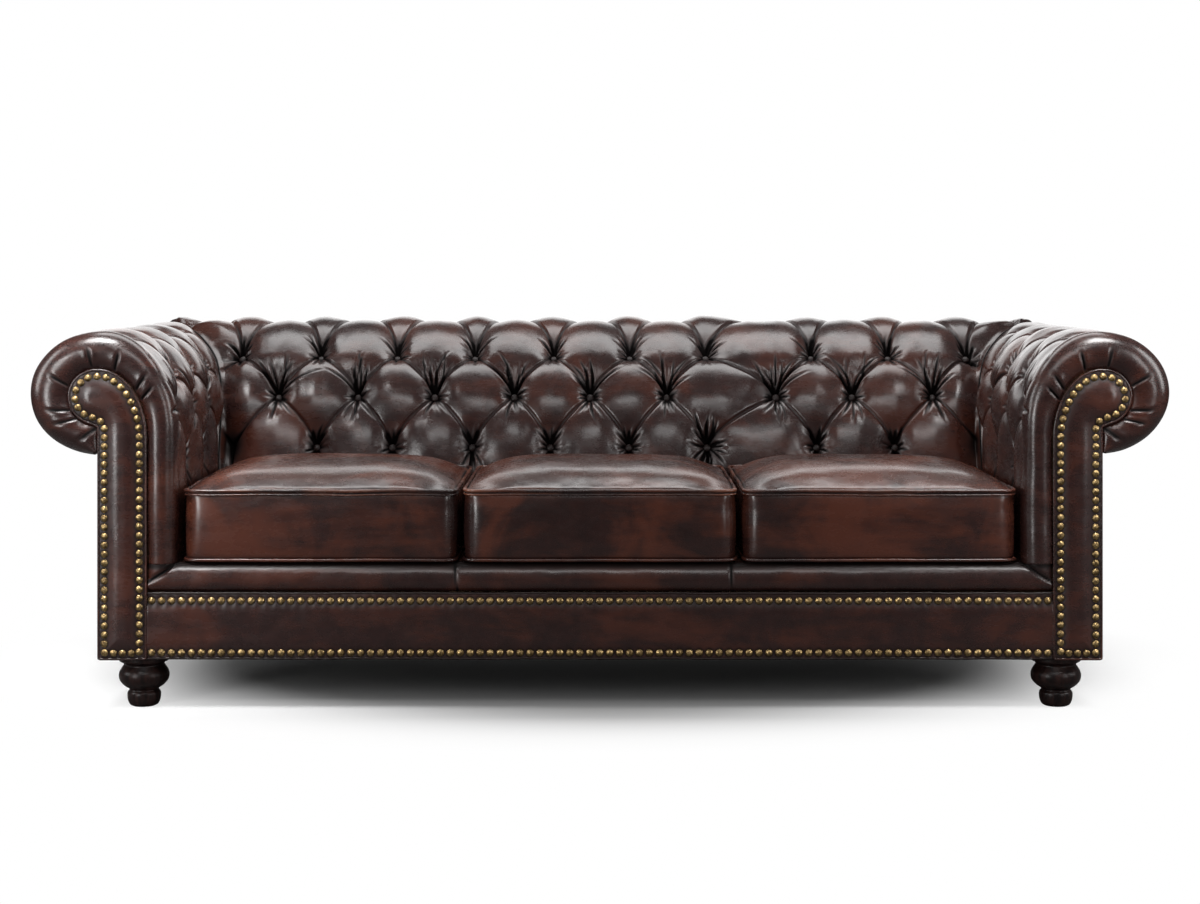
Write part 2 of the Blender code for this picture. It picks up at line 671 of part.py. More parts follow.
def cushion(index, name):
    """A crowned seat cushion: leather cover with a zip slot at the rear, and its foam core."""
    half_seat = ROLL_X - ARM_INNER - CUSHION_SIDE_GAP
    width = (2 * half_seat - 2 * CUSHION_BETWEEN) / 3
    middle_x = (index - 1) * (width + CUSHION_BETWEEN)
    rear_y = ROLL_Y - BACK_INNER - CUSHION_REAR_GAP
    half = (width / 2, (rear_y - CUSHION_FRONT_Y) / 2)
    middle_y = (rear_y + CUSHION_FRONT_Y) / 2
    bottom = PAD_BOTTOM
    bm = bmesh.new()
    bmesh.ops.create_cube(bm, size=2.0)
    for axis, cells in zip((2, 0, 1), (CUSHION_CELLS[2], CUSHION_CELLS[0], CUSHION_CELLS[1])):
        along = [e for e in bm.edges if abs((e.verts[0].co - e.verts[1].co)[axis]) > 1e-6]
        bmesh.ops.subdivide_edges(bm, edges=along, cuts=cells - 1, use_grid_fill=True)
    crease = bm.edges.layers.float.new("crease_edge")
    for edge in bm.edges:
        level = [v.co.z for v in edge.verts]
        if len(edge.link_faces) == 2 and abs(level[0]) > 0.99 and abs(level[0] - level[1]) < 1e-6:
            if edge.link_faces[0].normal.angle(edge.link_faces[1].normal) > 0.5:
                edge[crease] = SEAM_CREASE
    for vert in bm.verts:
        u, v, w = vert.co
        dome = (1 - u ** 4) * (1 - v ** 4)
        z = bottom + (CUSHION_EDGE_Z - bottom) * (w + 1) / 2
        if w > 0.99:
            z += CUSHION_CROWN * dome
        waist = CUSHION_DRAW_IN
        vert.co.x = u * (half[0] - waist * (1 - v * v) / 2)
        vert.co.y = v * (half[1] - waist * (1 - u * u) / 2)
        vert.co.z = z
    cover = add_mesh(name + "_cover", bm, LEATHER, smooth=True)
    cover.location = (middle_x, middle_y, 0.0)
    swell = cover.modifiers.new("stuffed form", "SUBSURF")
    swell.levels = 1
    swell.render_levels = 1
    xs = (middle_x - half[0] + FOAM_INSET, middle_x + half[0] - FOAM_INSET)
    ys = (CUSHION_FRONT_Y + FOAM_INSET, rear_y - FOAM_INSET)
    zs = (bottom + FOAM_INSET / 2, CUSHION_EDGE_Z - FOAM_INSET / 2)
    hollow = add_box(name + "_hollow", xs, ys, zs, None, collection=CUTTERS)
    slot_z = (zs[0] + zs[1]) / 2
    slot = add_box(name + "_zip_slot", (xs[0] + FOAM_INSET, xs[1] - FOAM_INSET),
                   (ys[1] - FOAM_INSET, rear_y + FOAM_INSET),
                   (slot_z - ZIP_HEIGHT / 2, slot_z + ZIP_HEIGHT / 2), None, collection=CUTTERS)
    subtract(cover, hollow)
    subtract(cover, slot)
    fit = CORE_CLEAR
    core = add_box(name + "_foam_core", (xs[0] + fit, xs[1] - fit), (ys[0] + fit, ys[1] - fit),
                   (zs[0] + fit, zs[1] - fit), FOAM)
    return cover, core


def spring(x, name):
    """A zig-zag seat spring, arched from the front rail to the rear rail."""
    start = BORDER_FRONT_Y + BORDER_DEPTH + SPRING_WIRE / 2
    end = REAR_RAIL_Y[1] - SPRING_END
    count = round((end - start) / (SPRING_PITCH / 4))
    low = RAIL_TOP + SEAT_GAP + SPRING_WIRE / 2
    rise = DECK_BOTTOM - SEAT_GAP - SPRING_WIRE / 2 - low
    curve = bpy.data.curves.new(name, "CURVE")
    curve.dimensions = "3D"
    curve.bevel_depth = SPRING_WIRE / 2
    curve.bevel_resolution = 0
    curve.use_fill_caps = True
    spline = curve.splines.new("POLY")
    spline.points.add(count)
    for step, point in enumerate(spline.points):
        share = step / count
        swing = (0.0, 1.0, 0.0, -1.0)[step % 4] if step % 2 else 0.0
        place = (x + SPRING_HALF_WIDTH * swing, start + (end - start) * share,
                 low + rise * math.sin(math.pi * share))
        point.co = (*place, 1.0)
    body = bpy.data.objects.new(name, curve)
    body.data.materials.append(STEEL)
    SOFA.objects.link(body)
    return body


# Places shared by the timber
BOARD_FRONT_Y = FACING_FRONT_Y + FACING_THICK + SEAT_GAP
FRAME_FRONT_Y = APRON_FRONT_Y + APRON_THICK + SEAT_GAP
BEHIND_BOARD_Y = BOARD_FRONT_Y + BOARD_THICK + SEAT_GAP
CORE_X = ROLL_X - CORE_INNER
CORE_Y = ROLL_Y - CORE_INNER
POST_X = (CORE_X + WOOD_GAP, CORE_X + WOOD_GAP + POST_SIZE)
POST_Y = (CORE_Y, CORE_Y + POST_SIZE)
REAR_RAIL_Y = (POST_Y[1] - RAIL_THICK, POST_Y[1])
PANEL_X = (POST_X[1] + SEAT_GAP, POST_X[1] + SEAT_GAP + PANEL_THICK)
PANEL_Y = (POST_Y[1] + SEAT_GAP, POST_Y[1] + SEAT_GAP + PANEL_THICK)
SIDE_RAIL_X = (POST_X[1] - SIDE_RAIL_THICK, POST_X[1])
SHELF_Z = CORE_SHELF + WOOD_GAP
TOP_RAIL_Z = (SHELF_Z, CORE_TOP - WOOD_GAP)


def mirrored(side, pair):
    return tuple(sorted((side * pair[0], side * pair[1])))


def build_timber():
    """The hardwood frame under the upholstery."""
    inside_boards = ROLL_X - FACING_WIDTH + BOARD_INSET - SEAT_GAP
    add_box("front_seat_rail", (-inside_boards, inside_boards),
            (FRAME_FRONT_Y, FRAME_FRONT_Y + RAIL_THICK), (RAIL_BOTTOM, RAIL_TOP), TIMBER)
    rear_half = POST_X[0] - SEAT_GAP
    add_box("rear_seat_rail", (-rear_half, rear_half), REAR_RAIL_Y, (RAIL_BOTTOM, RAIL_TOP), TIMBER)
    between = (FRAME_FRONT_Y + RAIL_THICK + SEAT_GAP, REAR_RAIL_Y[0] - SEAT_GAP)
    for side, word in ((-1, "left"), (1, "right")):
        side_y = (BEHIND_BOARD_Y, POST_Y[0] - SEAT_GAP)
        add_box(f"{word}_seat_rail", mirrored(side, SIDE_RAIL_X), side_y,
                (RAIL_BOTTOM, DECK_BOTTOM - SEAT_GAP), TIMBER)
        add_box(f"{word}_rear_post", mirrored(side, POST_X), POST_Y,
                (RAIL_BOTTOM, SHELF_Z - SEAT_GAP), TIMBER)
        rail_x = (CORE_X + WOOD_GAP, ROLL_X + CORE_OUTER - WOOD_GAP)
        add_box(f"{word}_arm_rail", mirrored(side, rail_x),
                (BEHIND_BOARD_Y, CORE_Y + WOOD_GAP - SEAT_GAP), TOP_RAIL_Z, TIMBER)
        add_box(f"{word}_arm_board", mirrored(side, (POST_X[0], POST_X[0] + BOARD_SHEET)),
                (BEHIND_BOARD_Y, POST_Y[0] - SEAT_GAP),
                (PAD_BOTTOM, SHELF_Z - SEAT_GAP), BOARD)
        add_box(f"{word}_seat_brace", mirrored(side, (BRACE_X, BRACE_X + RAIL_THICK)), between,
                (RAIL_BOTTOM, RAIL_BOTTOM + BRACE_HEIGHT), TIMBER)
        add_box(f"{word}_back_strut", mirrored(side, (STRUT_X, STRUT_X + STRUT_WIDTH)),
                REAR_RAIL_Y, (RAIL_TOP + SEAT_GAP, SHELF_Z - SEAT_GAP), TIMBER)
        facing_piece(side, f"{word}_scroll_board", BOARD_INSET, BOARD_FRONT_Y, BOARD_THICK, TIMBER)
    rail_half = ROLL_X + CORE_OUTER - WOOD_GAP
    add_box("back_top_rail", (-rail_half, rail_half),
            (CORE_Y + WOOD_GAP, ROLL_Y + CORE_OUTER - WOOD_GAP), TOP_RAIL_Z, TIMBER)


def build_back_board():
    """The board that the back's stuffing is built on, leaning from the deck to the top rail."""
    foot = ROLL_Y - CORE_LEAN + WOOD_GAP
    head = CORE_Y + WOOD_GAP
    top = SHELF_Z - SEAT_GAP
    outline = [(foot, PAD_BOTTOM), (foot + BOARD_SHEET, PAD_BOTTOM), (head + BOARD_SHEET, top), (head, top)]
    half = POST_X[0] - SEAT_GAP
    board = flat_outline("back_board", [outline], 2 * half, BOARD)
    board.rotation_euler = (math.radians(90), 0.0, math.radians(90))


def build_seat():
    """Springs, deck, border, apron and the cover underneath."""
    for index, x in enumerate(SPRING_X):
        spring(x, f"seat_spring_{index + 1}")
    border_half = ROLL_X - FACING_WIDTH - SEAT_GAP
    border_y = (BORDER_FRONT_Y, BORDER_FRONT_Y + BORDER_DEPTH)
    border = add_box("front_border", (-border_half, border_half), border_y,
                     (RAIL_TOP + SEAT_GAP, DECK_TOP), LEATHER)
    soften(border, BORDER_ROUND, 2)
    apron = add_box("front_apron", (-border_half, border_half),
                    (APRON_FRONT_Y, APRON_FRONT_Y + APRON_THICK), (FOOT_TOP, APRON_TOP), LEATHER)
    soften(apron, APRON_ROUND)
    for name, height in zip(("lower_nail_band", "upper_nail_band"), NAIL_ROWS):
        add_box(name, (-border_half + NAIL_BAND, border_half - NAIL_BAND),
                (APRON_FRONT_Y - SEAT_GAP - NAIL_PROUD, APRON_FRONT_Y - SEAT_GAP),
                (height - NAIL_BAND / 2, height + NAIL_BAND / 2), BRASS)
    deck_half = POST_X[1] - WOOD_GAP
    add_box("seat_deck", (-deck_half, deck_half), (border_y[1] + SEAT_GAP, CORE_Y - SEAT_GAP),
            (DECK_BOTTOM, DECK_TOP), LEATHER)


def build_dust_cover():
    half_x = POST_X[1] - WOOD_GAP
    notch = BLOCK_SIZE + SEAT_GAP
    inner_x = FOOT_X - notch
    front, rear = BEHIND_BOARD_Y, REAR_RAIL_Y[1]
    front_notch, rear_notch = FOOT_Y[0] + notch, FOOT_Y[1] - notch
    outline = [(-inner_x, front), (inner_x, front), (inner_x, front_notch), (half_x, front_notch),
               (half_x, rear_notch), (inner_x, rear_notch), (inner_x, rear), (-inner_x, rear),
               (-inner_x, rear_notch), (-half_x, rear_notch), (-half_x, front_notch),
               (-inner_x, front_notch)]
    cover = flat_outline("dust_cover", [outline], DUST_COVER_THICK, DUST_CLOTH)
    cover.location.z = RAIL_BOTTOM - SEAT_GAP - DUST_COVER_THICK / 2


def build_feet():
    """Turned feet on hanger bolts, each with a corner block above."""
    hole = BOLT_RADIUS + BOLT_GAP
    for row, y in zip(("front", "rear"), FOOT_Y):
        for side, word in ((-1, "left"), (1, "right")):
            spot = (side * FOOT_X, y, 0.0)
            name = f"{row}_{word}"
            profile = [(0.0, BOLT_BOTTOM - BOLT_GAP), (hole, BOLT_BOTTOM - BOLT_GAP), (hole, FOOT_TOP)]
            profile += FOOT_PROFILE
            profile.append((0.0, FOOT_PROFILE[-1][1]))
            turned(f"{name}_foot", profile, FOOT_STEPS, MAHOGANY, spot)
            bolt = [(0.0, BLOCK_TOP), (BOLT_RADIUS, BLOCK_TOP), (BOLT_RADIUS, BOLT_BOTTOM),
                    (0.0, BOLT_BOTTOM)]
            turned(f"{name}_hanger_bolt", bolt, BOLT_STEPS, STEEL, spot)
            corner_block(f"{name}_corner_block", side, y, hole)


def corner_block(name, side, y, hole):
    """A drilled block in the frame's corner, that the foot screws up against."""
    inward = FOOT_X - BLOCK_SIZE
    outward = SIDE_RAIL_X[0] - SEAT_GAP
    low = max(y - BLOCK_SIZE, FRAME_FRONT_Y + RAIL_THICK + SEAT_GAP)
    high = min(y + BLOCK_SIZE, POST_Y[0] - SEAT_GAP)
    square = [(side * inward, low), (side * outward, low), (side * outward, high), (side * inward, high)]
    ring = arc((side * FOOT_X, y), (hole, hole), 0, 330, 11)
    height = BLOCK_TOP - FOOT_TOP - SEAT_GAP
    block = flat_outline(name, [square, ring], height, TIMBER)
    block.location.z = BLOCK_TOP - height / 2


def build_upholstery():
    for side, word in ((-1, "left"), (1, "right")):
        pad = arm_pad(side, f"{word}_arm_pad")
        cut_front = FRONT_Y - BOARD_THICK
        depth = BEHIND_BOARD_Y - cut_front
        cutter = facing_piece(side, f"{word}_scroll_cut", -CUT_CLEAR, cut_front, depth, None, CUTTERS)
        subtract(pad, cutter)
        facing = facing_piece(side, f"{word}_facing", 0.0, FACING_FRONT_Y, FACING_THICK, LEATHER)
        soften(facing, FACING_ROUND)
        nail_band(side, f"{word}_facing_nail_band")
        add_box(f"outside_{word}_arm", mirrored(side, PANEL_X), (BEHIND_BOARD_Y, POST_Y[1]),
                (FOOT_TOP, SHELF_Z - SEAT_GAP), LEATHER)
    back_pad("back_pad")
    add_box("outside_back", (-PANEL_X[1], PANEL_X[1]), PANEL_Y, (FOOT_TOP, SHELF_Z - SEAT_GAP), LEATHER)


build_timber()
build_back_board()
build_seat()
build_dust_cover()
build_feet()
build_upholstery()
for cushion_index, cushion_word in enumerate(("left", "centre", "right")):
    cushion(cushion_index, f"{cushion_word}_cushion")
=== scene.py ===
"""The looks of the chesterfield sofa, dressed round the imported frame.

Everything is in metres, +Z up, with the sofa's front facing -Y. The arms and the back share one
idea: a section drawn in (d, z), where d runs outwards from the roll line, carries a lattice of
buttons. "column" runs along the roll and "row" down the section, as numbers on that lattice.
"""
import math

import bmesh
import bpy
import numpy as np
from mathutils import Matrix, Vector, geometry


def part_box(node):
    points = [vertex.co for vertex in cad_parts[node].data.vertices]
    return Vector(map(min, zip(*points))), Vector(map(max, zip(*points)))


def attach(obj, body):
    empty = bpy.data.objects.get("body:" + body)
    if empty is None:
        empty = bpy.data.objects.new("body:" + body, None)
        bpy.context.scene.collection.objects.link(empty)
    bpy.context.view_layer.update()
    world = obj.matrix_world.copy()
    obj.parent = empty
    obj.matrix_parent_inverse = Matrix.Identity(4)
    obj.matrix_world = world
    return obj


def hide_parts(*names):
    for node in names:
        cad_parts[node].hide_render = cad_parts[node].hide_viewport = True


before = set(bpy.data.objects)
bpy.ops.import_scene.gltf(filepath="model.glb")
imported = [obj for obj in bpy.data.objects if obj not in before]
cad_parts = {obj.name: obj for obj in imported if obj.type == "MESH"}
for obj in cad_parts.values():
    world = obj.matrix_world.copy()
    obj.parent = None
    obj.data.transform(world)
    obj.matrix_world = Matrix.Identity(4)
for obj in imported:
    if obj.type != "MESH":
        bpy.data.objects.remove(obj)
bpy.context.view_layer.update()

# Places taken from the frame
ARM_LOW, ARM_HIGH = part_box("right_arm_pad")
BACK_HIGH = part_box("back_pad")[1]
FACING_LOW, FACING_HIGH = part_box("right_facing")
APRON_LOW, APRON_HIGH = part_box("front_apron")
BORDER_LOW, BORDER_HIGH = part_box("front_border")
ROLL_OUT = 0.1335          # how far the rolls reach outside their roll lines
ROLL_X = ARM_HIGH[0] - ROLL_OUT
ROLL_Y = BACK_HIGH[1] - ROLL_OUT
PAD_BOTTOM = ARM_LOW[2]
ARM_TOP = ARM_HIGH[2]
BACK_TOP = BACK_HIGH[2]
FOOT_TOP = FACING_LOW[2]


# Small helpers
def link(thing):
    bpy.context.scene.collection.objects.link(thing)
    return thing


def bell(value, width):
    """1 at 0, falling off softly over the width on both sides."""
    return np.exp(-(value / width) ** 2)


def ease(value, low, high):
    """From 0 at low to 1 at high, with soft ends."""
    t = np.clip((value - low) / (high - low), 0, 1)
    return t * t * (3 - 2 * t)


def swell(away, start, reach):
    """From 0 at start to 1 at reach beyond it, rounded like a stuffed edge."""
    return np.sin(np.pi / 2 * np.clip((away - start) / reach, 0, 1))


def together(*parts):
    """Numbers or arrays side by side, as an array of points."""
    return np.stack(np.broadcast_arrays(*parts), axis=-1)


def flat_points(*grids):
    return np.stack([np.ravel(grid) for grid in grids], axis=1)


def smooth_noise(points, size, seed):
    """Soft value noise, from -1 to 1, for an array of points with any number of axes."""
    points = np.atleast_2d(np.asarray(points, dtype=float)) / size
    cell = np.floor(points).astype(np.int64)
    part = points - cell
    part = part * part * (3 - 2 * part)
    axes = points.shape[1]
    total = np.zeros(len(points))
    for corner in range(2 ** axes):
        step = np.array([(corner >> axis) & 1 for axis in range(axes)])
        spot = cell + step
        key = np.full(len(points), seed * 7919, dtype=np.int64)
        for axis in range(axes):
            key = (key ^ (spot[:, axis] * (73856093, 19349663, 83492791)[axis])) * 2654435761 % 4294967291
        total += (key % 65536 / 32767.5 - 1.0) * np.prod(np.where(step == 1, part, 1 - part), axis=1)
    return total


def feed(tree, node, inputs):
    """Gives each named input of a node a value, or links it to another node's output."""
    for key, value in inputs.items():
        if isinstance(value, bpy.types.NodeSocket):
            tree.links.new(value, node.inputs[key])
        else:
            node.inputs[key].default_value = value
    return node


def add_node(tree, kind, inputs, **settings):
    node = tree.nodes.new(kind)
    for key, value in settings.items():
        setattr(node, key, value)
    return feed(tree, node, inputs)


def combine(tree, operation, a, b):
    return add_node(tree, "ShaderNodeMath", {0: a, 1: b}, operation=operation).outputs[0]


def spread(tree, value, low, high, out_low=0.0, out_high=1.0):
    """A value between low and high, carried smoothly to between out_low and out_high."""
    inputs = {"Value": value, "From Min": low, "From Max": high, "To Min": out_low, "To Max": out_high}
    return add_node(tree, "ShaderNodeMapRange", inputs, interpolation_type="SMOOTHSTEP").outputs["Result"]


def blend_colours(tree, share, a, b):
    """Colours are outputs, or tuples of red, green and blue."""
    a, b = ((*colour, 1.0) if isinstance(colour, tuple) else colour for colour in (a, b))
    mix = add_node(tree, "ShaderNodeMix", {"Factor": share, "A": a, "B": b}, data_type="RGBA")
    return mix.outputs["Result"]


def noise(tree, where, scale, detail=3.0, roughness=0.55, distortion=0.0):
    inputs = {"Vector": where, "Scale": scale, "Detail": detail, "Roughness": roughness,
              "Distortion": distortion}
    return add_node(tree, "ShaderNodeTexNoise", inputs).outputs["Fac"]


def stretched(tree, scale=(1.0, 1.0, 1.0)):
    """Object coordinates multiplied by a scale on each axis."""
    place = tree.nodes.new("ShaderNodeTexCoord").outputs["Object"]
    return add_node(tree, "ShaderNodeMapping", {"Vector": place, "Scale": scale}).outputs["Vector"]


def attribute(tree, name):
    return add_node(tree, "ShaderNodeAttribute", {}, attribute_name=name).outputs["Fac"]


def bumps(tree, *layers):
    """A normal from height layers, each (value, distance in metres), one on another."""
    normal = {}
    for height, distance in layers:
        node = add_node(tree, "ShaderNodeBump", {"Height": height, "Distance": distance, **normal})
        normal = {"Normal": node.outputs["Normal"]}
    return normal


# Camera, light and floor
CAMERA_PLACE = (0.0, -4.67, 0.866)
CAMERA_LENS = 64.2
CAMERA_SHIFT_Y = -0.1517
ARM_BEAM = 42.0            # degrees that the small lights over the arms open to
FLOOR_REACH = 40.0
FADE_REACH = (1.36, 0.95)  # half size of the oval of floor that keeps its shadow, the rest is white
FADE_CENTRE_Y = 0.12
# inside the oval the camera sees the floor darker, a painted shadow that fades out between these shares
SHADOW_FADE = (0.30, 0.80)  # shares of that reach between which the floor turns pale,
WHITE_FADE = (0.58, 1.02)   # and between which it turns white
STUDIO_TINT = (1.0, 0.99, 0.98, 1.0)
STUDIO_STRENGTH = 0.09
REFLECTED_STRENGTH = 0.12  # the studio as polished leather and brass show it


def add_camera():
    data = bpy.data.cameras.new("photograph_camera")
    data.lens = CAMERA_LENS
    data.sensor_width = 36.0
    data.shift_y = CAMERA_SHIFT_Y
    camera = link(bpy.data.objects.new("photograph_camera", data))
    camera.location = CAMERA_PLACE
    camera.rotation_euler = (math.radians(90), 0.0, 0.0)
    bpy.context.scene.camera = camera


def add_softbox(name, place, aim, size, watts, beam=180.0):
    data = bpy.data.lights.new(name, "AREA")
    data.shape = "RECTANGLE"
    data.size, data.size_y = size
    data.energy = watts
    data.spread = math.radians(beam)
    lamp = link(bpy.data.objects.new(name, data))
    lamp.location = place
    lamp.rotation_euler = (Vector(aim) - Vector(place)).to_track_quat("-Z", "Y").to_euler()


def add_lights():
    add_softbox("overhead_softbox", (0.0, 0.45, 2.6), (0.0, 0.3, 0.5), (3.2, 1.0), 52.0)
    add_softbox("rear_softbox", (0.0, 2.7, 1.45), (0.0, 0.0, 0.6), (4.4, 1.7), 42.0)
    add_softbox("left_front_strip", (-2.75, -3.45, 1.0), (-0.9, -0.4, 0.4), (0.75, 1.7), 50.0)
    add_softbox("right_front_strip", (2.9, -3.3, 1.3), (0.9, -0.4, 0.4), (0.5, 1.7), 22.0)
    add_softbox("front_fill", (0.0, -3.5, 3.1), (0.0, 0.0, 0.4), (2.6, 0.9), 31.0)
    for side, arm_watts in ((-1, 3.2), (1, 2.0)):
        add_softbox("side_strip", (side * 3.0, -0.9, 1.5), (side * 0.6, 0.0, 0.5), (0.6, 1.8), 26.0)
        add_softbox("arm_top_softbox", (side * 1.25, -1.0, 1.95), (side * 1.1, -0.45, 0.70),
                    (0.7, 0.5), arm_watts, ARM_BEAM)


def add_world():
    world = bpy.data.worlds.new("pale_studio")
    bpy.context.scene.world = world
    world.use_nodes = True
    tree = world.node_tree
    tree.nodes.clear()
    rays = tree.nodes.new("ShaderNodeLightPath").outputs
    strength = {"Factor": rays["Is Glossy Ray"], "A": STUDIO_STRENGTH, "B": REFLECTED_STRENGTH}
    strength = add_node(tree, "ShaderNodeMix", strength, data_type="FLOAT").outputs["Result"]
    studio = add_node(tree, "ShaderNodeBackground", {"Color": STUDIO_TINT, "Strength": strength})
    white = add_node(tree, "ShaderNodeBackground", {"Color": (1.0, 1.0, 1.0, 1.0)})
    seen = combine(tree, "MAXIMUM", rays["Is Camera Ray"], rays["Is Transmission Ray"])
    mix = add_node(tree, "ShaderNodeMixShader", {0: seen, 1: studio.outputs[0], 2: white.outputs[0]})
    add_node(tree, "ShaderNodeOutputWorld", {"Surface": mix.outputs[0]})


def add_floor():
    mesh = bpy.data.meshes.new("studio_floor")
    r = FLOOR_REACH
    mesh.from_pydata([(-r, -r, 0), (r, -r, 0), (r, r, 0), (-r, r, 0)], [], [(0, 1, 2, 3)])
    floor = link(bpy.data.objects.new("studio_floor", mesh))
    material, tree, shader = new_material("pale_floor")
    place = tree.nodes.new("ShaderNodeTexCoord").outputs["Object"]
    camera_ray = tree.nodes.new("ShaderNodeLightPath").outputs["Is Camera Ray"]
    size = (1 / FADE_REACH[0], 1 / FADE_REACH[1], 0.0)
    oval = {0: place, 1: size, 2: (0.0, -FADE_CENTRE_Y / FADE_REACH[1], 0.0)}
    oval = add_node(tree, "ShaderNodeVectorMath", oval, operation="MULTIPLY_ADD").outputs[0]
    away = add_node(tree, "ShaderNodeVectorMath", {0: oval}, operation="LENGTH").outputs["Value"]
    # near the sofa the floor seen by the camera is darker: a painted shadow added to the sofa's own
    pale = blend_colours(tree, spread(tree, away, *SHADOW_FADE), (0.34, 0.34, 0.34), (0.82, 0.82, 0.82))
    tint = blend_colours(tree, camera_ray, (0.14, 0.14, 0.14), pale)
    feed(tree, shader, {"Base Color": tint, "Roughness": 0.9, "Specular IOR Level": 0.0})
    white = combine(tree, "MULTIPLY", spread(tree, away, *WHITE_FADE), camera_ray)
    backdrop = tree.nodes.new("ShaderNodeEmission").outputs[0]
    mix = add_node(tree, "ShaderNodeMixShader", {0: white, 1: shader.outputs[0], 2: backdrop})
    feed(tree, tree.nodes["Material Output"], {"Surface": mix.outputs[0]})
    mesh.materials.append(material)


# Finishes
MOTTLED = ((0.0190, 0.0078, 0.0070), (0.0310, 0.0112, 0.0094))  # the leather's dye, dark and light
RUBBED = (0.0920, 0.0255, 0.0140)
# near-black of the folds: partly dye gathered there, partly painted shade
FOLD_DYE_AND_SHADE = (0.0022, 0.0013, 0.0013)
TAN = (0.2400, 0.0850, 0.0480)
LEATHER_CELLS = 620.0


def new_material(name):
    material = bpy.data.materials.new(name)
    material.use_nodes = True
    return material, material.node_tree, material.node_tree.nodes["Principled BSDF"]


def cells(tree, scale, **settings):
    where = {"Vector": stretched(tree), "Scale": scale}
    return add_node(tree, "ShaderNodeTexVoronoi", where, **settings).outputs["Distance"]


def oxblood_leather(name, rub_scale=5.2, rub_share=0.55, streak=(5.0, 5.0, 20.0), rub_start=0.65, gloss=0.55,
                    polish_coat=0.22):
    """Hand-rubbed glossy leather: red where the dye is rubbed through, near-black in the folds as painted
    shade with some dye.
    """
    material, tree, shader = new_material(name)
    place = stretched(tree)
    crease = attribute(tree, "crease")
    smears = combine(tree, "MULTIPLY", noise(tree, stretched(tree, streak), 1.6, 4.0, 0.6, 0.3), 0.45)
    clouds = combine(tree, "ADD", noise(tree, place, rub_scale, 4.0, 0.55, 0.6), smears)
    open_skin = spread(tree, crease, 0.1, 0.5, 1.0, 0.0)
    rubbed = combine(tree, "MULTIPLY", spread(tree, clouds, rub_start, rub_start + 0.27), open_skin)
    body = blend_colours(tree, spread(tree, noise(tree, place, 26.0, 5.0, 0.65), 0.3, 0.75), *MOTTLED)
    skin = blend_colours(tree, combine(tree, "MULTIPLY", rubbed, rub_share), body, RUBBED)
    # the folds darkened towards near-black: partly dye, partly painted shade
    skin_with_fold_shade = blend_colours(tree, spread(tree, crease, 0.12, 0.80), skin, FOLD_DYE_AND_SHADE)
    smudges = noise(tree, stretched(tree, (9.0, 9.0, 22.0)), 2.2, 5.0, 0.7)
    polish = spread(tree, smudges, 0.25, 0.8, 0.22, 0.33)
    feed(tree, shader, {
        # the tan is wear, and on the cushions' open tops a painted warm sheen
        "Base Color": blend_colours(tree, attribute(tree, "wear_and_top_sheen"), skin_with_fold_shade, TAN),
        "Roughness": combine(tree, "ADD", polish, combine(tree, "MULTIPLY", crease, 0.42)),
        # gloss and coat drop away in the creases: painted shade in place of their reflections
        "Specular IOR Level": spread(tree, crease, 0.1, 0.9, gloss, 0.25 * gloss),
        "Coat Weight": spread(tree, crease, 0.1, 0.6, polish_coat, 0.0),
        "Coat Roughness": 0.24,
        **bumps(tree, (noise(tree, place, 34.0, 3.0, 0.5), 0.0006),
                (cells(tree, LEATHER_CELLS, feature="SMOOTH_F1"), 0.00006))})
    return material


def antique_brass():
    material, tree, shader = new_material("antique_brass")
    age = spread(tree, noise(tree, stretched(tree), 160.0, 4.0, 0.65), 0.38, 0.68)
    feed(tree, shader, {
        "Base Color": blend_colours(tree, age, (0.140, 0.092, 0.042), (0.600, 0.425, 0.195)),
        "Roughness": spread(tree, age, 0.0, 1.0, 0.50, 0.33),
        "Metallic": 1.0,
        **bumps(tree, (noise(tree, stretched(tree), 700.0), 0.0004))})
    return material


def polished_wood():
    material, tree, shader = new_material("polished_mahogany")
    grain = noise(tree, stretched(tree, (60.0, 60.0, 7.0)), 1.5, 5.0, 0.6, 1.5)
    streaks = spread(tree, grain, 0.35, 0.7)
    feed(tree, shader, {
        "Base Color": blend_colours(tree, streaks, (0.0060, 0.0034, 0.0034), (0.0240, 0.0098, 0.0080)),
        "Roughness": spread(tree, grain, 0.3, 0.8, 0.30, 0.40),
        "Specular IOR Level": 0.25,
        **bumps(tree, (grain, 0.0003))})
    return material


def raw_wood(name, dark, light, scale):
    material, tree, shader = new_material(name)
    rings = noise(tree, stretched(tree, scale), 4.0, 6.0, 0.6, 2.0)
    pores = noise(tree, stretched(tree, tuple(12 * s for s in scale)), 6.0, 2.0)
    tone = combine(tree, "ADD", combine(tree, "MULTIPLY", rings, 0.75),
                   combine(tree, "MULTIPLY", pores, 0.25))
    feed(tree, shader, {
        "Base Color": blend_colours(tree, spread(tree, tone, 0.3, 0.7), dark, light),
        "Roughness": 0.72,
        **bumps(tree, (tone, 0.0006))})
    return material


def spring_steel():
    material, tree, shader = new_material("spring_steel")
    drawn = noise(tree, stretched(tree), 220.0, 4.0)
    feed(tree, shader, {
        "Base Color": blend_colours(tree, spread(tree, drawn, 0.35, 0.7),
                                    (0.20, 0.19, 0.19), (0.42, 0.42, 0.43)),
        "Roughness": spread(tree, drawn, 0.3, 0.8, 0.30, 0.50),
        "Metallic": 1.0})
    return material


def seat_foam():
    material, tree, shader = new_material("seat_foam")
    pores = cells(tree, 420.0)
    tone = spread(tree, pores, 0.1, 0.7)
    feed(tree, shader, {
        "Base Color": blend_colours(tree, tone, (0.52, 0.47, 0.33), (0.76, 0.72, 0.58)),
        "Roughness": 0.95,
        **bumps(tree, (pores, 0.0006))})
    return material


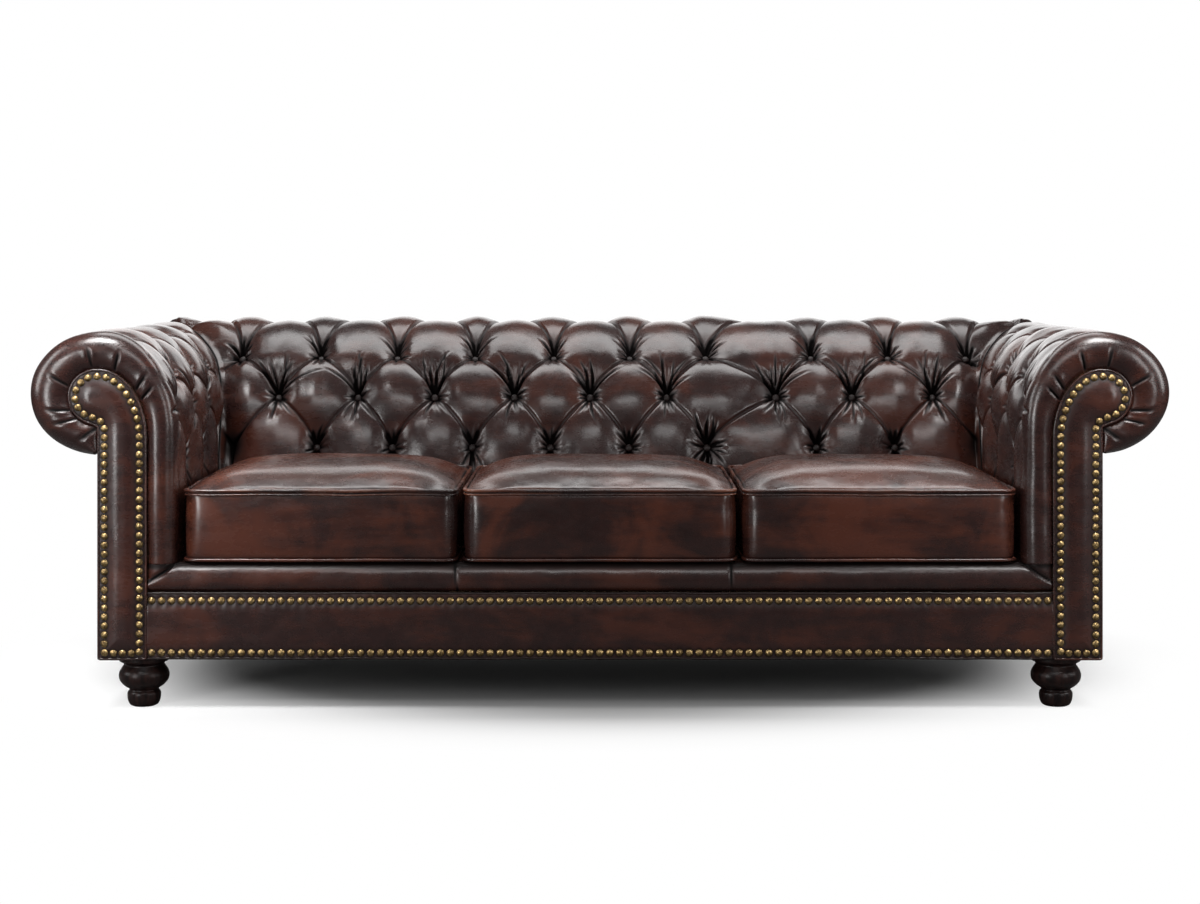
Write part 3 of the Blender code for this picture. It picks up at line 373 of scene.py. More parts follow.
def dust_cloth():
    """Thin black woven lining under the seat."""
    material, tree, shader = new_material("dust_cloth")
    thread = {"Vector": stretched(tree), "Scale": 140.0, "Distortion": 0.4}
    threads = [add_node(tree, "ShaderNodeTexWave", thread, bands_direction=axis).outputs["Fac"]
               for axis in ("X", "Y")]
    weave = combine(tree, "MULTIPLY", *threads)
    feed(tree, shader, {
        "Base Color": blend_colours(tree, weave, (0.010, 0.010, 0.011), (0.036, 0.035, 0.036)),
        "Roughness": 0.95,
        **bumps(tree, (weave, 0.0004))})
    return material


LEATHER = oxblood_leather("oxblood_leather")
# a dull copy of the leather for the deepest folds: painted shade that takes away their reflections
FOLD_SHADE_LEATHER = oxblood_leather("fold_shade_leather", gloss=0.16, polish_coat=0.0)
CUSHION_LEATHER = oxblood_leather("cushion_leather", 6.1, 0.90, (3.0, 3.0, 16.0), 0.60)
BRASS = antique_brass()
MAHOGANY = polished_wood()
FRAME_FINISHES = {
    "leather": LEATHER,
    "nails": BRASS,
    "polished_wood": MAHOGANY,
    "timber": raw_wood("beech_frame", (0.30, 0.19, 0.10), (0.52, 0.37, 0.22), (1.0, 9.0, 9.0)),
    "board": raw_wood("fibre_board", (0.20, 0.12, 0.06), (0.34, 0.22, 0.12), (30.0, 30.0, 30.0)),
    "steel": spring_steel(),
    "foam": seat_foam(),
    "dust_cloth": dust_cloth(),
}


def paint_frame():
    """The finishes of the frame's own parts, by their material slots."""
    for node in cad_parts.values():
        for place in node.material_slots:
            place.material = FRAME_FINISHES[place.material.name.split(".")[0]]


# Meshes
FOLD_SHADE = 0.74          # darkness of a crease past which its faces lose their gloss


def make_piece(name, points, faces, material, body="frame"):
    mesh = bpy.data.meshes.new(name)
    mesh.from_pydata([tuple(p) for p in points], [], faces)
    mesh.validate()
    mesh.shade_smooth()
    mesh.materials.append(material)
    piece = link(bpy.data.objects.new(name, mesh))
    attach(piece, body)
    return piece


def set_attribute(piece, name, values):
    layer = piece.data.attributes.new(name, "FLOAT", "POINT")
    layer.data.foreach_set("value", np.asarray(values, dtype=np.float32))


def shade_folds(piece, values):
    """The faces at the bottom of folds lose their gloss: a dull copy of the leather as painted shade."""
    mesh = piece.data
    mesh.materials.append(FOLD_SHADE_LEATHER)
    corners = np.empty(len(mesh.loops), dtype=np.int32)
    mesh.loops.foreach_get("vertex_index", corners)
    starts = np.empty(len(mesh.polygons), dtype=np.int32)
    mesh.polygons.foreach_get("loop_start", starts)
    means = np.add.reduceat(values[corners], starts) / np.diff(np.append(starts, len(corners)))
    mesh.polygons.foreach_set("material_index", (means > FOLD_SHADE).astype(np.int32))


def grid_faces(columns, rows):
    """Quads between neighbouring points of a grid stored column by column."""
    index = np.arange(columns * rows).reshape(columns, rows)
    return flat_points(index[:-1, :-1], index[1:, :-1], index[1:, 1:], index[:-1, 1:]).tolist()


def turn_outwards(piece):
    """Faces turned outwards on a closed piece."""
    bm = bmesh.new()
    bm.from_mesh(piece.data)
    bmesh.ops.recalc_face_normals(bm, faces=bm.faces)
    if bm.calc_volume(signed=True) < 0:
        bmesh.ops.reverse_faces(bm, faces=bm.faces)
    bm.to_mesh(piece.data)
    bm.free()


def vertex_places(piece):
    place = np.empty(len(piece.data.vertices) * 3)
    piece.data.vertices.foreach_get("co", place)
    return place.reshape(-1, 3)


def move_vertices(piece, place):
    piece.data.vertices.foreach_set("co", np.ascontiguousarray(place).ravel())
    piece.data.update()


def evaluated_mesh(piece):
    graph = bpy.context.evaluated_depsgraph_get()
    return bpy.data.meshes.new_from_object(piece.evaluated_get(graph), depsgraph=graph)


# Sections of the arm and the back
ARM_INNER = 0.1530
ARM_BEND_Z = ARM_TOP - 0.1941
ARM_ROLL_HALF = 0.1227
ARM_ROLL_OUT = ROLL_OUT + 0.0085  # the arms' leather swells a little past the solid
BACK_INNER = 0.2500
BACK_BEND_Z = BACK_TOP - 0.3520
BACK_BELLY = (-0.2450, BACK_TOP - 0.2220)
BACK_SHOULDER = 0.1400
BACK_ROLL_HALF = 0.1230
ROLL_END = -85             # degrees round the roll where its leather ends
ARM_ROW_DROPS = (0.0837, 0.1597, 0.2737)
BACK_ROW_DROPS = (0.0700, 0.1610, 0.2775)
TOP_ROW_INSET = 0.0300
BACK_TOP_ROW_PAST = 0.0950  # girth from the back's crest to the row that would be the next one up
LOWEST_ROW = 4.333
OUTER_ROWS = 8
OUTER_PLEAT_ROW = -5       # the row, counted up over the roll, where its leather ends
SEAT_STATIONS = 51         # grid steps in each band between two button rows
LIP_STATIONS = 12          # in the band at the crest
ROLL_STATIONS = 12         # and in each band round the outside of the roll
WALL_THICK = 0.0550        # stuffing between the leather and the closing inner wall


def ellipse_arc(centre, radii, start, end, steps):
    angles = np.radians(np.linspace(start, end, steps))
    return together(centre[0] + radii[0] * np.cos(angles), centre[1] + radii[1] * np.sin(angles))


def arm_outline():
    low = together(-ARM_INNER, np.linspace(PAD_BOTTOM, ARM_BEND_Z, 80))
    inside = ellipse_arc((0.0, ARM_BEND_Z), (ARM_INNER, ARM_TOP - ARM_BEND_Z), 180, 90, 200)
    outside = ellipse_arc((0.0, ARM_TOP - ARM_ROLL_HALF), (ARM_ROLL_OUT, ARM_ROLL_HALF), 90, ROLL_END, 300)
    return np.concatenate([low, inside[1:], outside[1:]])


def back_outline():
    low = together(-BACK_INNER, np.linspace(PAD_BOTTOM, BACK_BEND_Z, 60))
    t = np.linspace(0, 1, 300)[:, None]
    bend, belly, shoulder, crest = (np.array(p) for p in (
        (-BACK_INNER, BACK_BEND_Z), BACK_BELLY, (-BACK_SHOULDER, BACK_TOP), (0.0, BACK_TOP)))
    inside = ((1 - t) ** 3 * bend + 3 * (1 - t) ** 2 * t * belly
              + 3 * (1 - t) * t ** 2 * shoulder + t ** 3 * crest)
    outside = ellipse_arc((0.0, BACK_TOP - BACK_ROLL_HALF), (ROLL_OUT, BACK_ROLL_HALF), 90, ROLL_END, 300)
    return np.concatenate([low, inside[1:], outside[1:]])


def stations():
    """Values from LOWEST_ROW down to -OUTER_ROWS, shared by the arm and the back."""
    seat = np.linspace(LOWEST_ROW, 0, round(LOWEST_ROW * SEAT_STATIONS))
    lip = np.linspace(0, -1, LIP_STATIONS)[1:]
    roll = np.linspace(-1, -OUTER_ROWS, (OUTER_ROWS - 1) * ROLL_STATIONS)[1:]
    return np.concatenate([seat, lip, roll])


STATIONS = stations()


def falling(places, marks):
    """Values at places from marks, a table of values by key, with the keys counted downwards."""
    keys = sorted(marks, reverse=True)
    return np.interp(-places, [-key for key in keys], [marks[key] for key in keys])


class Section:
    """An outline sampled at the stations: place, outward normal, girth and tufting row of each."""

    def __init__(self, outline, top, row_drops, hidden_row):
        steps = np.hypot(*np.diff(outline, axis=0).T)
        girth = np.concatenate([[0.0], np.cumsum(steps)])
        rising = outline[:, 0] <= 1e-9
        crest = girth[rising][-1]
        rows = {LOWEST_ROW: 0.0}
        for row, drop in enumerate(row_drops, start=1):
            rows[row] = np.interp(top - drop, outline[rising, 1], girth[rising])
        upper_seam = np.interp(-TOP_ROW_INSET, outline[rising, 0], girth[rising])
        self.girth = falling(STATIONS, {**rows, 0: upper_seam, -1: crest, -OUTER_ROWS: girth[-1]})
        rows[0] = crest + hidden_row
        rows[OUTER_PLEAT_ROW] = girth[-1]
        self.row_girths = rows
        keys = sorted(rows, reverse=True)
        self.row = np.interp(self.girth, [rows[key] for key in keys], keys)
        self.d = np.interp(self.girth, girth, outline[:, 0])
        self.z = np.interp(self.girth, girth, outline[:, 1])
        along_d, along_z = np.gradient(self.d, self.girth), np.gradient(self.z, self.girth)
        size = np.hypot(along_d, along_z)
        self.nd, self.nz = -along_z / size, along_d / size

    def inset(self, depth):
        return self.d - self.nd * depth, self.z - self.nz * depth


ARM = Section(arm_outline(), ARM_TOP, ARM_ROW_DROPS, -TOP_ROW_INSET)
BACK = Section(back_outline(), BACK_TOP, BACK_ROW_DROPS, BACK_TOP_ROW_PAST)


# Tufting
HALF_PITCH = 0.0880        # between neighbouring columns of the lattice
FOLD_BOW = 1.45            # how steeply the folds leave the buttons below them
PUFF_DEPTH = 0.0130
PUFF_ROUNDNESS = 0.80
UPPER_PUFFS = ((0.4, 1.3), (0.65, 1.0))  # rows, and how much of their depth the puffs have there
BUTTON_DEPTH = 0.0235
BUTTON_SPREAD = 0.46
BUTTON_RADIUS = 0.0088
BUTTON_HEIGHT = 0.0050
BUTTON_SHADE = 0.50
FOLD_DEPTH = 0.0048        # the tight crease at the bottom of a fold
FOLD_WIDTH = 0.018         # widths here are shares of the lattice's pitch
FOLD_OVERLAP = 0.0017      # how far the leather above a fold stands over the leather below it
LINE_WIDTH = 0.015
# painted shade, partly dye that gathers in folds: along a fold, and round the buttons
FOLD_LINE_SHADE = (0.44, 0.30)        # of a fold, and what it gains near a button
BUTTON_BOWL_SHADE = (0.50, 0.82, 0.70)  # round the buttons of each row
BOWL_WIDTH = 0.13
CREST_RISE = 0.0120        # how much the puffs on the back's crest stand over their neighbours
CREST_ROWS = 1.5
PLEAT_ROWS = 4.5           # the folds fade out over this many rows past the lattice


def lattice(column, row):
    """Two counts whose whole values are folds, and how far the row lies past the button rows.

    The rows are bowed, so that folds are steep where they rise from a button.
    """
    held = np.clip(row, 0.0, 3.0)
    base = np.floor(held)
    bowed = base + 1 - (1 - (held - base)) ** FOLD_BOW
    return (column + bowed) / 2, (column - bowed) / 2, np.abs(row - held)


def tuft(column, row, crest_rise):
    """(depth in metres, darkness of the crease) of the tufted leather at lattice places."""
    a, b, away = lattice(column, row)
    fade = np.clip(1 - away / PLEAT_ROWS, 0, 1)
    waves = np.abs(np.sin(np.pi * a) * np.sin(np.pi * b)) ** PUFF_ROUNDNESS
    depth = PUFF_DEPTH * np.interp(row, *UPPER_PUFFS) * (1 - waves) * fade
    on_crest = (np.floor(a) == np.floor(b)) * np.clip(1 - away / CREST_ROWS, 0, 1)
    depth -= crest_rise * waves * on_crest
    off_a, off_b = a - np.round(a), b - np.round(b)
    fold_a, fold_b = np.abs(off_a), np.abs(off_b)
    nearest = np.hypot(fold_a, fold_b)
    depth += BUTTON_DEPTH * np.clip(1 - nearest / BUTTON_SPREAD - away, 0, 1) ** 3
    narrow = np.minimum(fold_a, fold_b)
    depth += FOLD_DEPTH * bell(narrow, FOLD_WIDTH) * fade
    lean = np.sign(off_a) * np.exp(-fold_a / 0.09) - np.sign(off_b) * np.exp(-fold_b / 0.09)
    depth += FOLD_OVERLAP * lean * (1 - bell(narrow, LINE_WIDTH)) * fade
    # the fold lines and the button bowls are painted shade, with some dye gathered in the folds
    line = (FOLD_LINE_SHADE[0] + FOLD_LINE_SHADE[1] * bell(nearest, 0.20)) * bell(narrow, LINE_WIDTH) * fade
    bowl = np.interp(row, (1, 2, 3), BUTTON_BOWL_SHADE) * bell(nearest, BOWL_WIDTH) * bell(away, 0.2)
    return depth, np.clip(line + bowl, 0, 1)


WRINKLE_START = 0.0050     # from a button's middle
WRINKLE_WIDTH = 0.0027
WRINKLE_REACH = 0.110
WRINKLE_BOW = 5.0          # most that a wrinkle bends sideways, for each metre squared
SIDE_SHARES = {1: 0.9, 2: 0.9, 3: 0.9}
WRINKLE_FANS = (
    # degrees from straight up, count, length, depth, and how much of them each row has
    (-36, 36, 9, 0.112, 0.0080, {1: 0.60, 2: 1.0, 3: 0.50}),
    (146, 214, 5, 0.074, 0.0056, {1: 0.5, 2: 1.0, 3: 1.3}),
    (48, 132, 5, 0.038, 0.0044, SIDE_SHARES),
    (228, 312, 5, 0.038, 0.0044, SIDE_SHARES),
)
GATHERED_X = 0.2450        # the lowest back button that gathers the leather most
GATHERED_VIGOUR = 1.5
GATHERED_STRETCH = 1.7


def wrinkle(x, y, angle, length, depth, bow):
    """A crease that runs out from a button at (0, 0), with a ridge on each side of it."""
    along = x * math.sin(angle) + y * math.cos(angle)
    beside = x * math.cos(angle) - y * math.sin(angle) - bow * along * np.abs(along)
    share = np.clip((along - WRINKLE_START) / (length - WRINKLE_START), 0, 1)
    strength = depth * np.sin(np.pi * share ** 0.45) * (1 - share) ** 0.2
    width = WRINKLE_WIDTH * (0.75 + 0.9 * share)
    return strength * (0.55 * bell(beside, 2.1 * width) - 1.3 * bell(beside, width))


def fans(across, girth, buttons, seed):
    """Wrinkles that radiate from the buttons, as a height in metres over a grid of places."""
    height = np.zeros_like(across)
    maker = np.random.default_rng(seed)
    for _, row, spot_across, spot_girth in buttons:
        vigour, stretch = maker.uniform(0.75, 1.25), 1.0
        if row == 3 and abs(spot_across - GATHERED_X) < 0.04:
            vigour, stretch = vigour * GATHERED_VIGOUR, GATHERED_STRETCH
        near = (np.abs(across - spot_across) < WRINKLE_REACH) & (np.abs(girth - spot_girth) < WRINKLE_REACH)
        x, y = across[near] - spot_across, girth[near] - spot_girth
        for low, high, count, length, depth, shares in WRINKLE_FANS:
            share = shares[row]
            step = (high - low) / count
            for turn in range(count):
                angle = math.radians(low + step * (turn + maker.uniform(0.2, 0.8)))
                reach = length * share * stretch * maker.uniform(0.6, 1.1)
                deep = depth * vigour * min(1.0, share + 0.25) * maker.uniform(0.65, 1.2)
                height[near] += wrinkle(x, y, angle, reach, deep, maker.uniform(-WRINKLE_BOW, WRINKLE_BOW))
    return height


# Pads
COLUMN_STEP = HALF_PITCH / 38
CORNER_STEPS = 84
ARM_CORNER_COLUMN = 4.667  # columns where the pads leave the lattice for the corner seam
BACK_CORNER_COLUMN = 0.667
ARM_FIRST_Y = FACING_LOW[1] + 0.0965
BACK_FIRST_X = -0.8140
BACK_COLUMNS = 18
BACK_WIDE_COLUMN = 12      # the column after which the back's diamonds are wider
BACK_WIDE_EXTRA = 0.0670
JITTER = 0.05              # of a half pitch, by which the buttons stray
ARM_BUTTON_CLEAR = 0.045   # from the last button to the corner seam
BACK_BUTTON_CLEAR = 0.022
BUTTON_SINK = PUFF_DEPTH + BUTTON_DEPTH - 0.0045
CREASE_SHADE = 0.75
CORNER_DEPTH = 0.0180
OUTER_SEAM_DEPTH = 0.0040
SEAM_HALF = 0.0004
CORNER_SHARE = (0.86, 1.0)  # shares of the way to the corner seam where the tufting ends
FACING_WIDTH = 0.0940
CURL_CENTRE = (0.0050, ARM_TOP - 0.1293)
CURL_RADIUS = 0.0530
CURL_START = -80           # degrees round the curl where the neck of the facing meets it
NECK_Z = ARM_TOP - 0.1882
NECK_ANGLES = (-89, -64, -58)  # degrees round the roll, whose leather runs to the facing's neck
FACING_BEND_Z = ARM_TOP - 0.2137
RING_DEPTH = 0.0400        # the arm's front edge rounds over this far
RING_FRONT_Y = FACING_LOW[1] + 0.0030
RING_CROWN = 0.45          # share of the ring's width where it stands furthest forward
RING_TUCK = 0.0110         # how far the ring falls back to the facing's piping
BOARD_REAR_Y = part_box("right_scroll_board")[1][1] + 0.0005
PLEAT_ANGLES = (26.0, -11.0, -28.0, -59.0, 78.0, 112.0, 149.0, 162.0)
PLEAT_DEPTH = 0.0042
PLEAT_WIDTH = 0.0055
TUCK_DEPTH = 0.0062        # of the fold that runs forward from the arm's second row
TUCK_WIDTH = 0.0042


def seam_ring(depth):
    """Where arm and back meet, for each station, with the seam sunk by depth."""
    arm_d, arm_z = ARM.inset(depth)
    back_d, back_z = BACK.inset(depth)
    outside = (arm_d > 0) & (back_d > 0)
    out = (arm_d + back_d) / 2 * math.sqrt(0.5)
    return together(ROLL_X + np.where(outside, out, arm_d), ROLL_Y + np.where(outside, out, back_d),
                    (arm_z + back_z) / 2)


SEAM = seam_ring(np.interp(STATIONS, [-1.0, 0.5], [OUTER_SEAM_DEPTH, CORNER_DEPTH]))
SEAM_WALL = seam_ring(np.full(len(STATIONS), WALL_THICK))


def corner_columns(section, start, ends):
    """Places and normals, each (along, out, z), of the columns between the last button and the seam."""
    inner = ease(STATIONS, -1.0, 1.0)
    places, normals = [], []
    for step in range(1, CORNER_STEPS + 1):
        s = step / CORNER_STEPS
        share = s * inner + min(1.0, 2 * s) * (1 - inner)
        turn = np.radians(45 * max(0.0, 2 * s - 1)) * (section.d > 0)
        along = start + (ends - start) * share + section.d * np.sin(turn)
        places.append(together(along, section.d * np.cos(turn), section.z))
        normals.append(together(section.nd * np.sin(turn), section.nd * np.cos(turn), section.nz))
    return np.array(places), np.array(normals)


def corner_valley(s):
    """How far the leather has sunk towards the corner seam, from 0 to 1."""
    return ease(s, 0.30, 1.0) ** 1.6


def drawn_to_seam(base, s):
    """The base grid with its height drifting to the seam's, over the share s of the way there."""
    base[:, :, 2] += ease(s, 0.2, 1.0)[:, None] ** 2 * (SEAM[:, 2] - base[-1, :, 2])
    return base


def corner_shadow(s):
    return (ease(s, 0.93, 1.0) ** 2)[:, None] * (STATIONS > -0.5)


def stray(column, row, seed):
    a, b, _ = lattice(column, row)
    return JITTER * smooth_noise(flat_points(a, b), 1.0, seed).reshape(np.shape(a))


def upholster(base, normals, section, columns, along, buttons, share, seed, crest_rise=0.0):
    """The tufted surface over a base grid: (points, crease)."""
    rows = np.broadcast_to(section.row, columns.shape)
    girth = np.broadcast_to(section.girth, columns.shape)
    depth, dark = tuft(columns - stray(columns, rows, seed), rows, crest_rise)
    spots = flat_points(along, girth)
    depth = depth * (1 + 0.16 * smooth_noise(spots, 0.19, seed + 1).reshape(depth.shape))
    creases = fans(along, girth, buttons, seed)
    upright = spots * np.array([1.0, 0.4])
    soft = 0.0019 * smooth_noise(upright, 0.048, seed + 2) + 0.0006 * smooth_noise(upright, 0.019, seed + 3)
    height = -depth * share + creases * share + soft.reshape(depth.shape)
    valley = np.clip(-creases / 0.0019, 0, 1) * share
    return base + normals * height[..., None], np.clip(dark * share + CREASE_SHADE * valley, 0, 1)


def close_pad(name, surface, dark, front, rear, turned):
    """A pad from its surface grid and the columns that close it in front and at the rear."""
    columns = [*front, *surface, *rear]
    count, rows = len(columns), len(STATIONS)
    faces = grid_faces(count, rows)
    last = (count - 1) * rows
    faces += [(last + j, j, j + 1, last + j + 1) for j in range(rows - 1)]
    faces.append([i * rows for i in range(count)][::-1])
    faces.append([i * rows + rows - 1 for i in range(count)])
    if turned:
        faces = [tuple(reversed(face)) for face in faces]
    pad = make_piece(name, np.concatenate(columns), faces, LEATHER)
    creases = np.concatenate([np.zeros(len(front) * rows), dark.ravel(), np.zeros(len(rear) * rows)])
    set_attribute(pad, "crease", creases)
    turn_outwards(pad)
    shade_folds(pad, creases)
    return pad


def facing_match():
    """The point of the facing's edge, in (d, z), that each station of the arm runs out from."""
    centre = CURL_CENTRE
    rise = centre[1] + CURL_RADIUS - FACING_BEND_Z
    phi = np.arctan2((ARM.z - ARM_BEND_Z) / (ARM_TOP - ARM_BEND_Z), -ARM.d / ARM_INNER)
    curved = together(-FACING_WIDTH * np.cos(phi), FACING_BEND_Z + rise * np.sin(phi))
    share = (ARM.z - PAD_BOTTOM) / (ARM_BEND_Z - PAD_BOTTOM)
    upright = together(-FACING_WIDTH, PAD_BOTTOM + share * (FACING_BEND_Z - PAD_BOTTOM))
    over_roll = (ARM.z - ARM_TOP + ARM_ROLL_HALF) / ARM_ROLL_HALF
    round_roll = np.degrees(np.arctan2(over_roll, ARM.d / ARM_ROLL_OUT))
    low, middle, high = NECK_ANGLES
    turn = np.radians(np.interp(round_roll, [high, 90], [CURL_START, 95]))
    curl = together(centre[0] + CURL_RADIUS * np.cos(turn), centre[1] + CURL_RADIUS * np.sin(turn))
    neck_start = (centre[0] + CURL_RADIUS * math.cos(math.radians(CURL_START)),
                  centre[1] + CURL_RADIUS * math.sin(math.radians(CURL_START)))
    below = together(np.interp(round_roll, [middle, high], [0.0, neck_start[0]]),
                     np.interp(round_roll, [low, middle, high], [ARM.z[-1] + 0.004, NECK_Z, neck_start[1]]))
    match = np.where((ARM.z < ARM_BEND_Z)[:, None], upright, curved)
    return np.where((ARM.d > 0)[:, None], np.where((round_roll < high)[:, None], below, curl), match)


def ring_columns():
    """(share of the way from the facing's edge to the arm's outline, y) across the front ring."""
    columns = []
    for q in np.linspace(0.0, RING_CROWN, 14)[:-1]:
        columns.append((q, RING_FRONT_Y + RING_TUCK * ((RING_CROWN - q) / RING_CROWN) ** 2.4))
    for phi in np.radians(np.linspace(0, 90, 22)):
        q = RING_CROWN + (1 - RING_CROWN) * math.sin(phi)
        columns.append((q, RING_FRONT_Y + RING_DEPTH * (1 - math.cos(phi))))
    return columns


def grid_normals(points):
    """Outward normals of a grid of points, columns first."""
    normals = -np.cross(np.gradient(points, axis=0), np.gradient(points, axis=1))
    return normals / np.maximum(np.linalg.norm(normals, axis=2, keepdims=True), 1e-12)


def find_buttons(section, along, last, columns, parity, seed):
    """(column, row, place along the roll, girth) of each button: along gives a column's place."""
    found = []
    for row in (1, 2, 3):
        girth = section.row_girths[row]
        for column in columns:
            if (column + row) % 2 != parity:
                continue
            wander = stray(np.array([column + float(parity)]), np.array([float(row)]), seed)
            place = float(along(column + float(wander[0])))
            if last(place, girth):
                found.append((column, row, place, girth))
    return found


def button_spots(section, buttons, to_world):
    """(place, outward normal) of each button, at the bottom of its dimple."""
    spots = []
    for _, _, along, girth in buttons:
        d, z, nd, nz = (np.interp(girth, section.girth, values)
                        for values in (section.d, section.z, section.nd, section.nz))
        place = to_world(along, d - nd * BUTTON_SINK, z - nz * BUTTON_SINK)
        spots.append((place, to_world(0.0, nd, nz, True)))
    return spots


def arm_buttons(seed):
    def last(y, girth):
        return y < ROLL_Y + np.interp(girth, ARM.girth, BACK.d) - ARM_BUTTON_CLEAR

    return find_buttons(ARM, lambda column: ARM_FIRST_Y + column * HALF_PITCH, last, range(0, 10), 0, seed)


def pleat_ring(surface, dark, normals, shares, along, columns):
    """The pleats of an arm's front ring, and the fold that runs back from it to the second row."""
    girth = np.broadcast_to(ARM.girth, columns.shape)
    around = np.degrees(np.unwrap(np.arctan2(ARM.z - CURL_CENTRE[1], ARM.d)[::-1]))
    reach = (ease(shares, 0.02, 0.12) * (1 - ease(shares, 0.40, 0.72)))[:, None]
    for angle in PLEAT_ANGLES:
        off = (girth - np.interp(angle, around, ARM.girth[::-1])) / PLEAT_WIDTH
        cut = PLEAT_DEPTH * bell(off, 1) - 0.4 * PLEAT_DEPTH * bell(off, 2.6)
        surface -= normals * (cut * reach)[..., None]
        # painted shade in each pleat
        dark = np.maximum(dark, bell(1.3 * off, 1) * reach)
    tucked = bell(girth - ARM.row_girths[2] - 0.004, TUCK_WIDTH)
    behind_ring = ease(along, RING_FRONT_Y + 0.012, RING_FRONT_Y + 0.03)
    tucked = tucked * (behind_ring * (1 - ease(columns, -0.3, 0.1)))
    surface -= normals * (TUCK_DEPTH * tucked)[..., None]
    # and painted shade in the tucked fold
    return np.maximum(dark, 0.8 * tucked)


def arm_pad(side, name, seed):
    match = facing_match()
    ring = ring_columns()
    base = []
    for q, y in ring:
        place = match * (1 - q) + together(ARM.d, ARM.z) * q
        base.append(together(ROLL_X + place[:, 0], y, place[:, 1]))
    straight_end = ARM_FIRST_Y + ARM_CORNER_COLUMN * HALF_PITCH
    for y in np.arange(ring[-1][1] + COLUMN_STEP, straight_end, COLUMN_STEP):
        base.append(together(ROLL_X + ARM.d, y, ARM.z))
    corner, leaning = corner_columns(ARM, straight_end, ROLL_Y + np.minimum(0.0, BACK.d))
    base += [together(ROLL_X + c[:, 1], c[:, 0], c[:, 2]) for c in corner]
    s = np.zeros(len(base))
    s[-CORNER_STEPS:] = np.arange(1, CORNER_STEPS + 1) / CORNER_STEPS
    shares = np.full(len(base), 2.0)
    shares[:len(ring)] = [q for q, _ in ring]
    base = np.array(base)
    normals = np.empty_like(base)
    normals[:] = together(ARM.nd, 0.0, ARM.nz)
    normals[:len(ring)] = grid_normals(base[:len(ring) + 2])[:len(ring)]
    normals[-CORNER_STEPS:] = leaning[:, :, [1, 0, 2]]
    base = drawn_to_seam(base, s)
    along = base[:, :, 1].copy()
    columns = (along - ARM_FIRST_Y) / HALF_PITCH
    buttons = arm_buttons(seed)
    tufted = ease(columns, -0.95, -0.15) * (1 - ease(s, *CORNER_SHARE))[:, None]
    surface, dark = upholster(base, normals, ARM, columns, along, buttons, tufted, seed)
    dark = pleat_ring(surface, dark, normals, shares, along, columns)
    surface += (SEAM - surface[-1]) * corner_valley(s)[:, None, None]
    surface[:, :, 1] -= SEAM_HALF * (s == 1.0)[:, None]
    wall_d, wall_z = ARM.inset(WALL_THICK)
    flip = np.array([side, 1, 1])
    rim = together(ROLL_X + match[:, 0], BOARD_REAR_Y, match[:, 1]) * flip
    wall = together(ROLL_X + wall_d, BOARD_REAR_Y, wall_z) * flip
    rear = (SEAM_WALL - np.array([0.0, SEAM_HALF, 0.0])) * flip
    dark = np.maximum(dark, corner_shadow(s))
    pad = close_pad(name, surface * flip, dark, [wall, rim], [rear], side > 0)

    def to_world(y, d, z, direction=False):
        return Vector((side * d, 0.0, z)) if direction else Vector((side * (ROLL_X + d), y, z))

    return pad, button_spots(ARM, buttons, to_world)


def back_x(column):
    wide = np.clip(column - BACK_WIDE_COLUMN, 0.0, 1.0)
    return BACK_FIRST_X + HALF_PITCH * column + BACK_WIDE_EXTRA * wide


def back_buttons(seed):
    def last(x, girth):
        return abs(x) < ROLL_X + np.interp(girth, BACK.girth, ARM.d) - BACK_BUTTON_CLEAR

    return find_buttons(BACK, back_x, last, range(-2, BACK_COLUMNS + 3), 1, seed)


def back_pad(name, seed):
    start = float(-back_x(BACK_CORNER_COLUMN))
    finish = float(back_x(BACK_COLUMNS - BACK_CORNER_COLUMN))
    ends = ROLL_X + np.minimum(0.0, ARM.d)
    corner, leaning = corner_columns(BACK, start, ends)
    left = [together(-c[:, 0], ROLL_Y + c[:, 1], c[:, 2]) for c in corner]
    corner, _ = corner_columns(BACK, finish, ends)
    right = [together(c[:, 0], ROLL_Y + c[:, 1], c[:, 2]) for c in corner]
    steps = round((start + finish) / COLUMN_STEP)
    middle = [together(x, ROLL_Y + BACK.d, BACK.z) for x in np.linspace(-start, finish, steps + 1)]
    base = np.array(left[::-1] + middle + right)
    normals = np.empty_like(base)
    normals[:] = together(0.0, BACK.nd, BACK.nz)
    normals[:CORNER_STEPS] = leaning[::-1] * np.array([-1, 1, 1])
    normals[-CORNER_STEPS:] = leaning
    s = np.zeros(len(base))
    s[-CORNER_STEPS:] = np.arange(1, CORNER_STEPS + 1) / CORNER_STEPS
    s[:CORNER_STEPS] = s[:-CORNER_STEPS - 1:-1]
    base = drawn_to_seam(base, s)
    along = base[:, :, 0].copy()
    guide = np.linspace(-6, BACK_COLUMNS + 6, 2000)
    columns = np.interp(along, back_x(guide), guide) + 1
    buttons = back_buttons(seed)
    tufted = np.ones(columns.shape) * (1 - ease(s, *CORNER_SHARE))[:, None]
    surface, dark = upholster(base, normals, BACK, columns, along, buttons, tufted, seed, CREST_RISE)
    walls = []
    for rim, pull in ((0, -1), (-1, 1)):
        flip = np.array([pull, 1, 1])
        side = slice(0, CORNER_STEPS) if rim == 0 else slice(len(s) - CORNER_STEPS, len(s))
        surface[side] += (SEAM * flip - surface[rim]) * corner_valley(s[side])[:, None, None]
        surface[rim, :, 0] -= pull * SEAM_HALF
        walls.append(SEAM_WALL * flip - np.array([pull * SEAM_HALF, 0, 0]))
    pad = close_pad(name, surface, np.maximum(dark, corner_shadow(s)), walls[:1], walls[1:], False)

    def to_world(x, d, z, direction=False):
        return Vector((0.0, d, z)) if direction else Vector((x, ROLL_Y + d, z))

    return pad, button_spots(BACK, buttons, to_world)


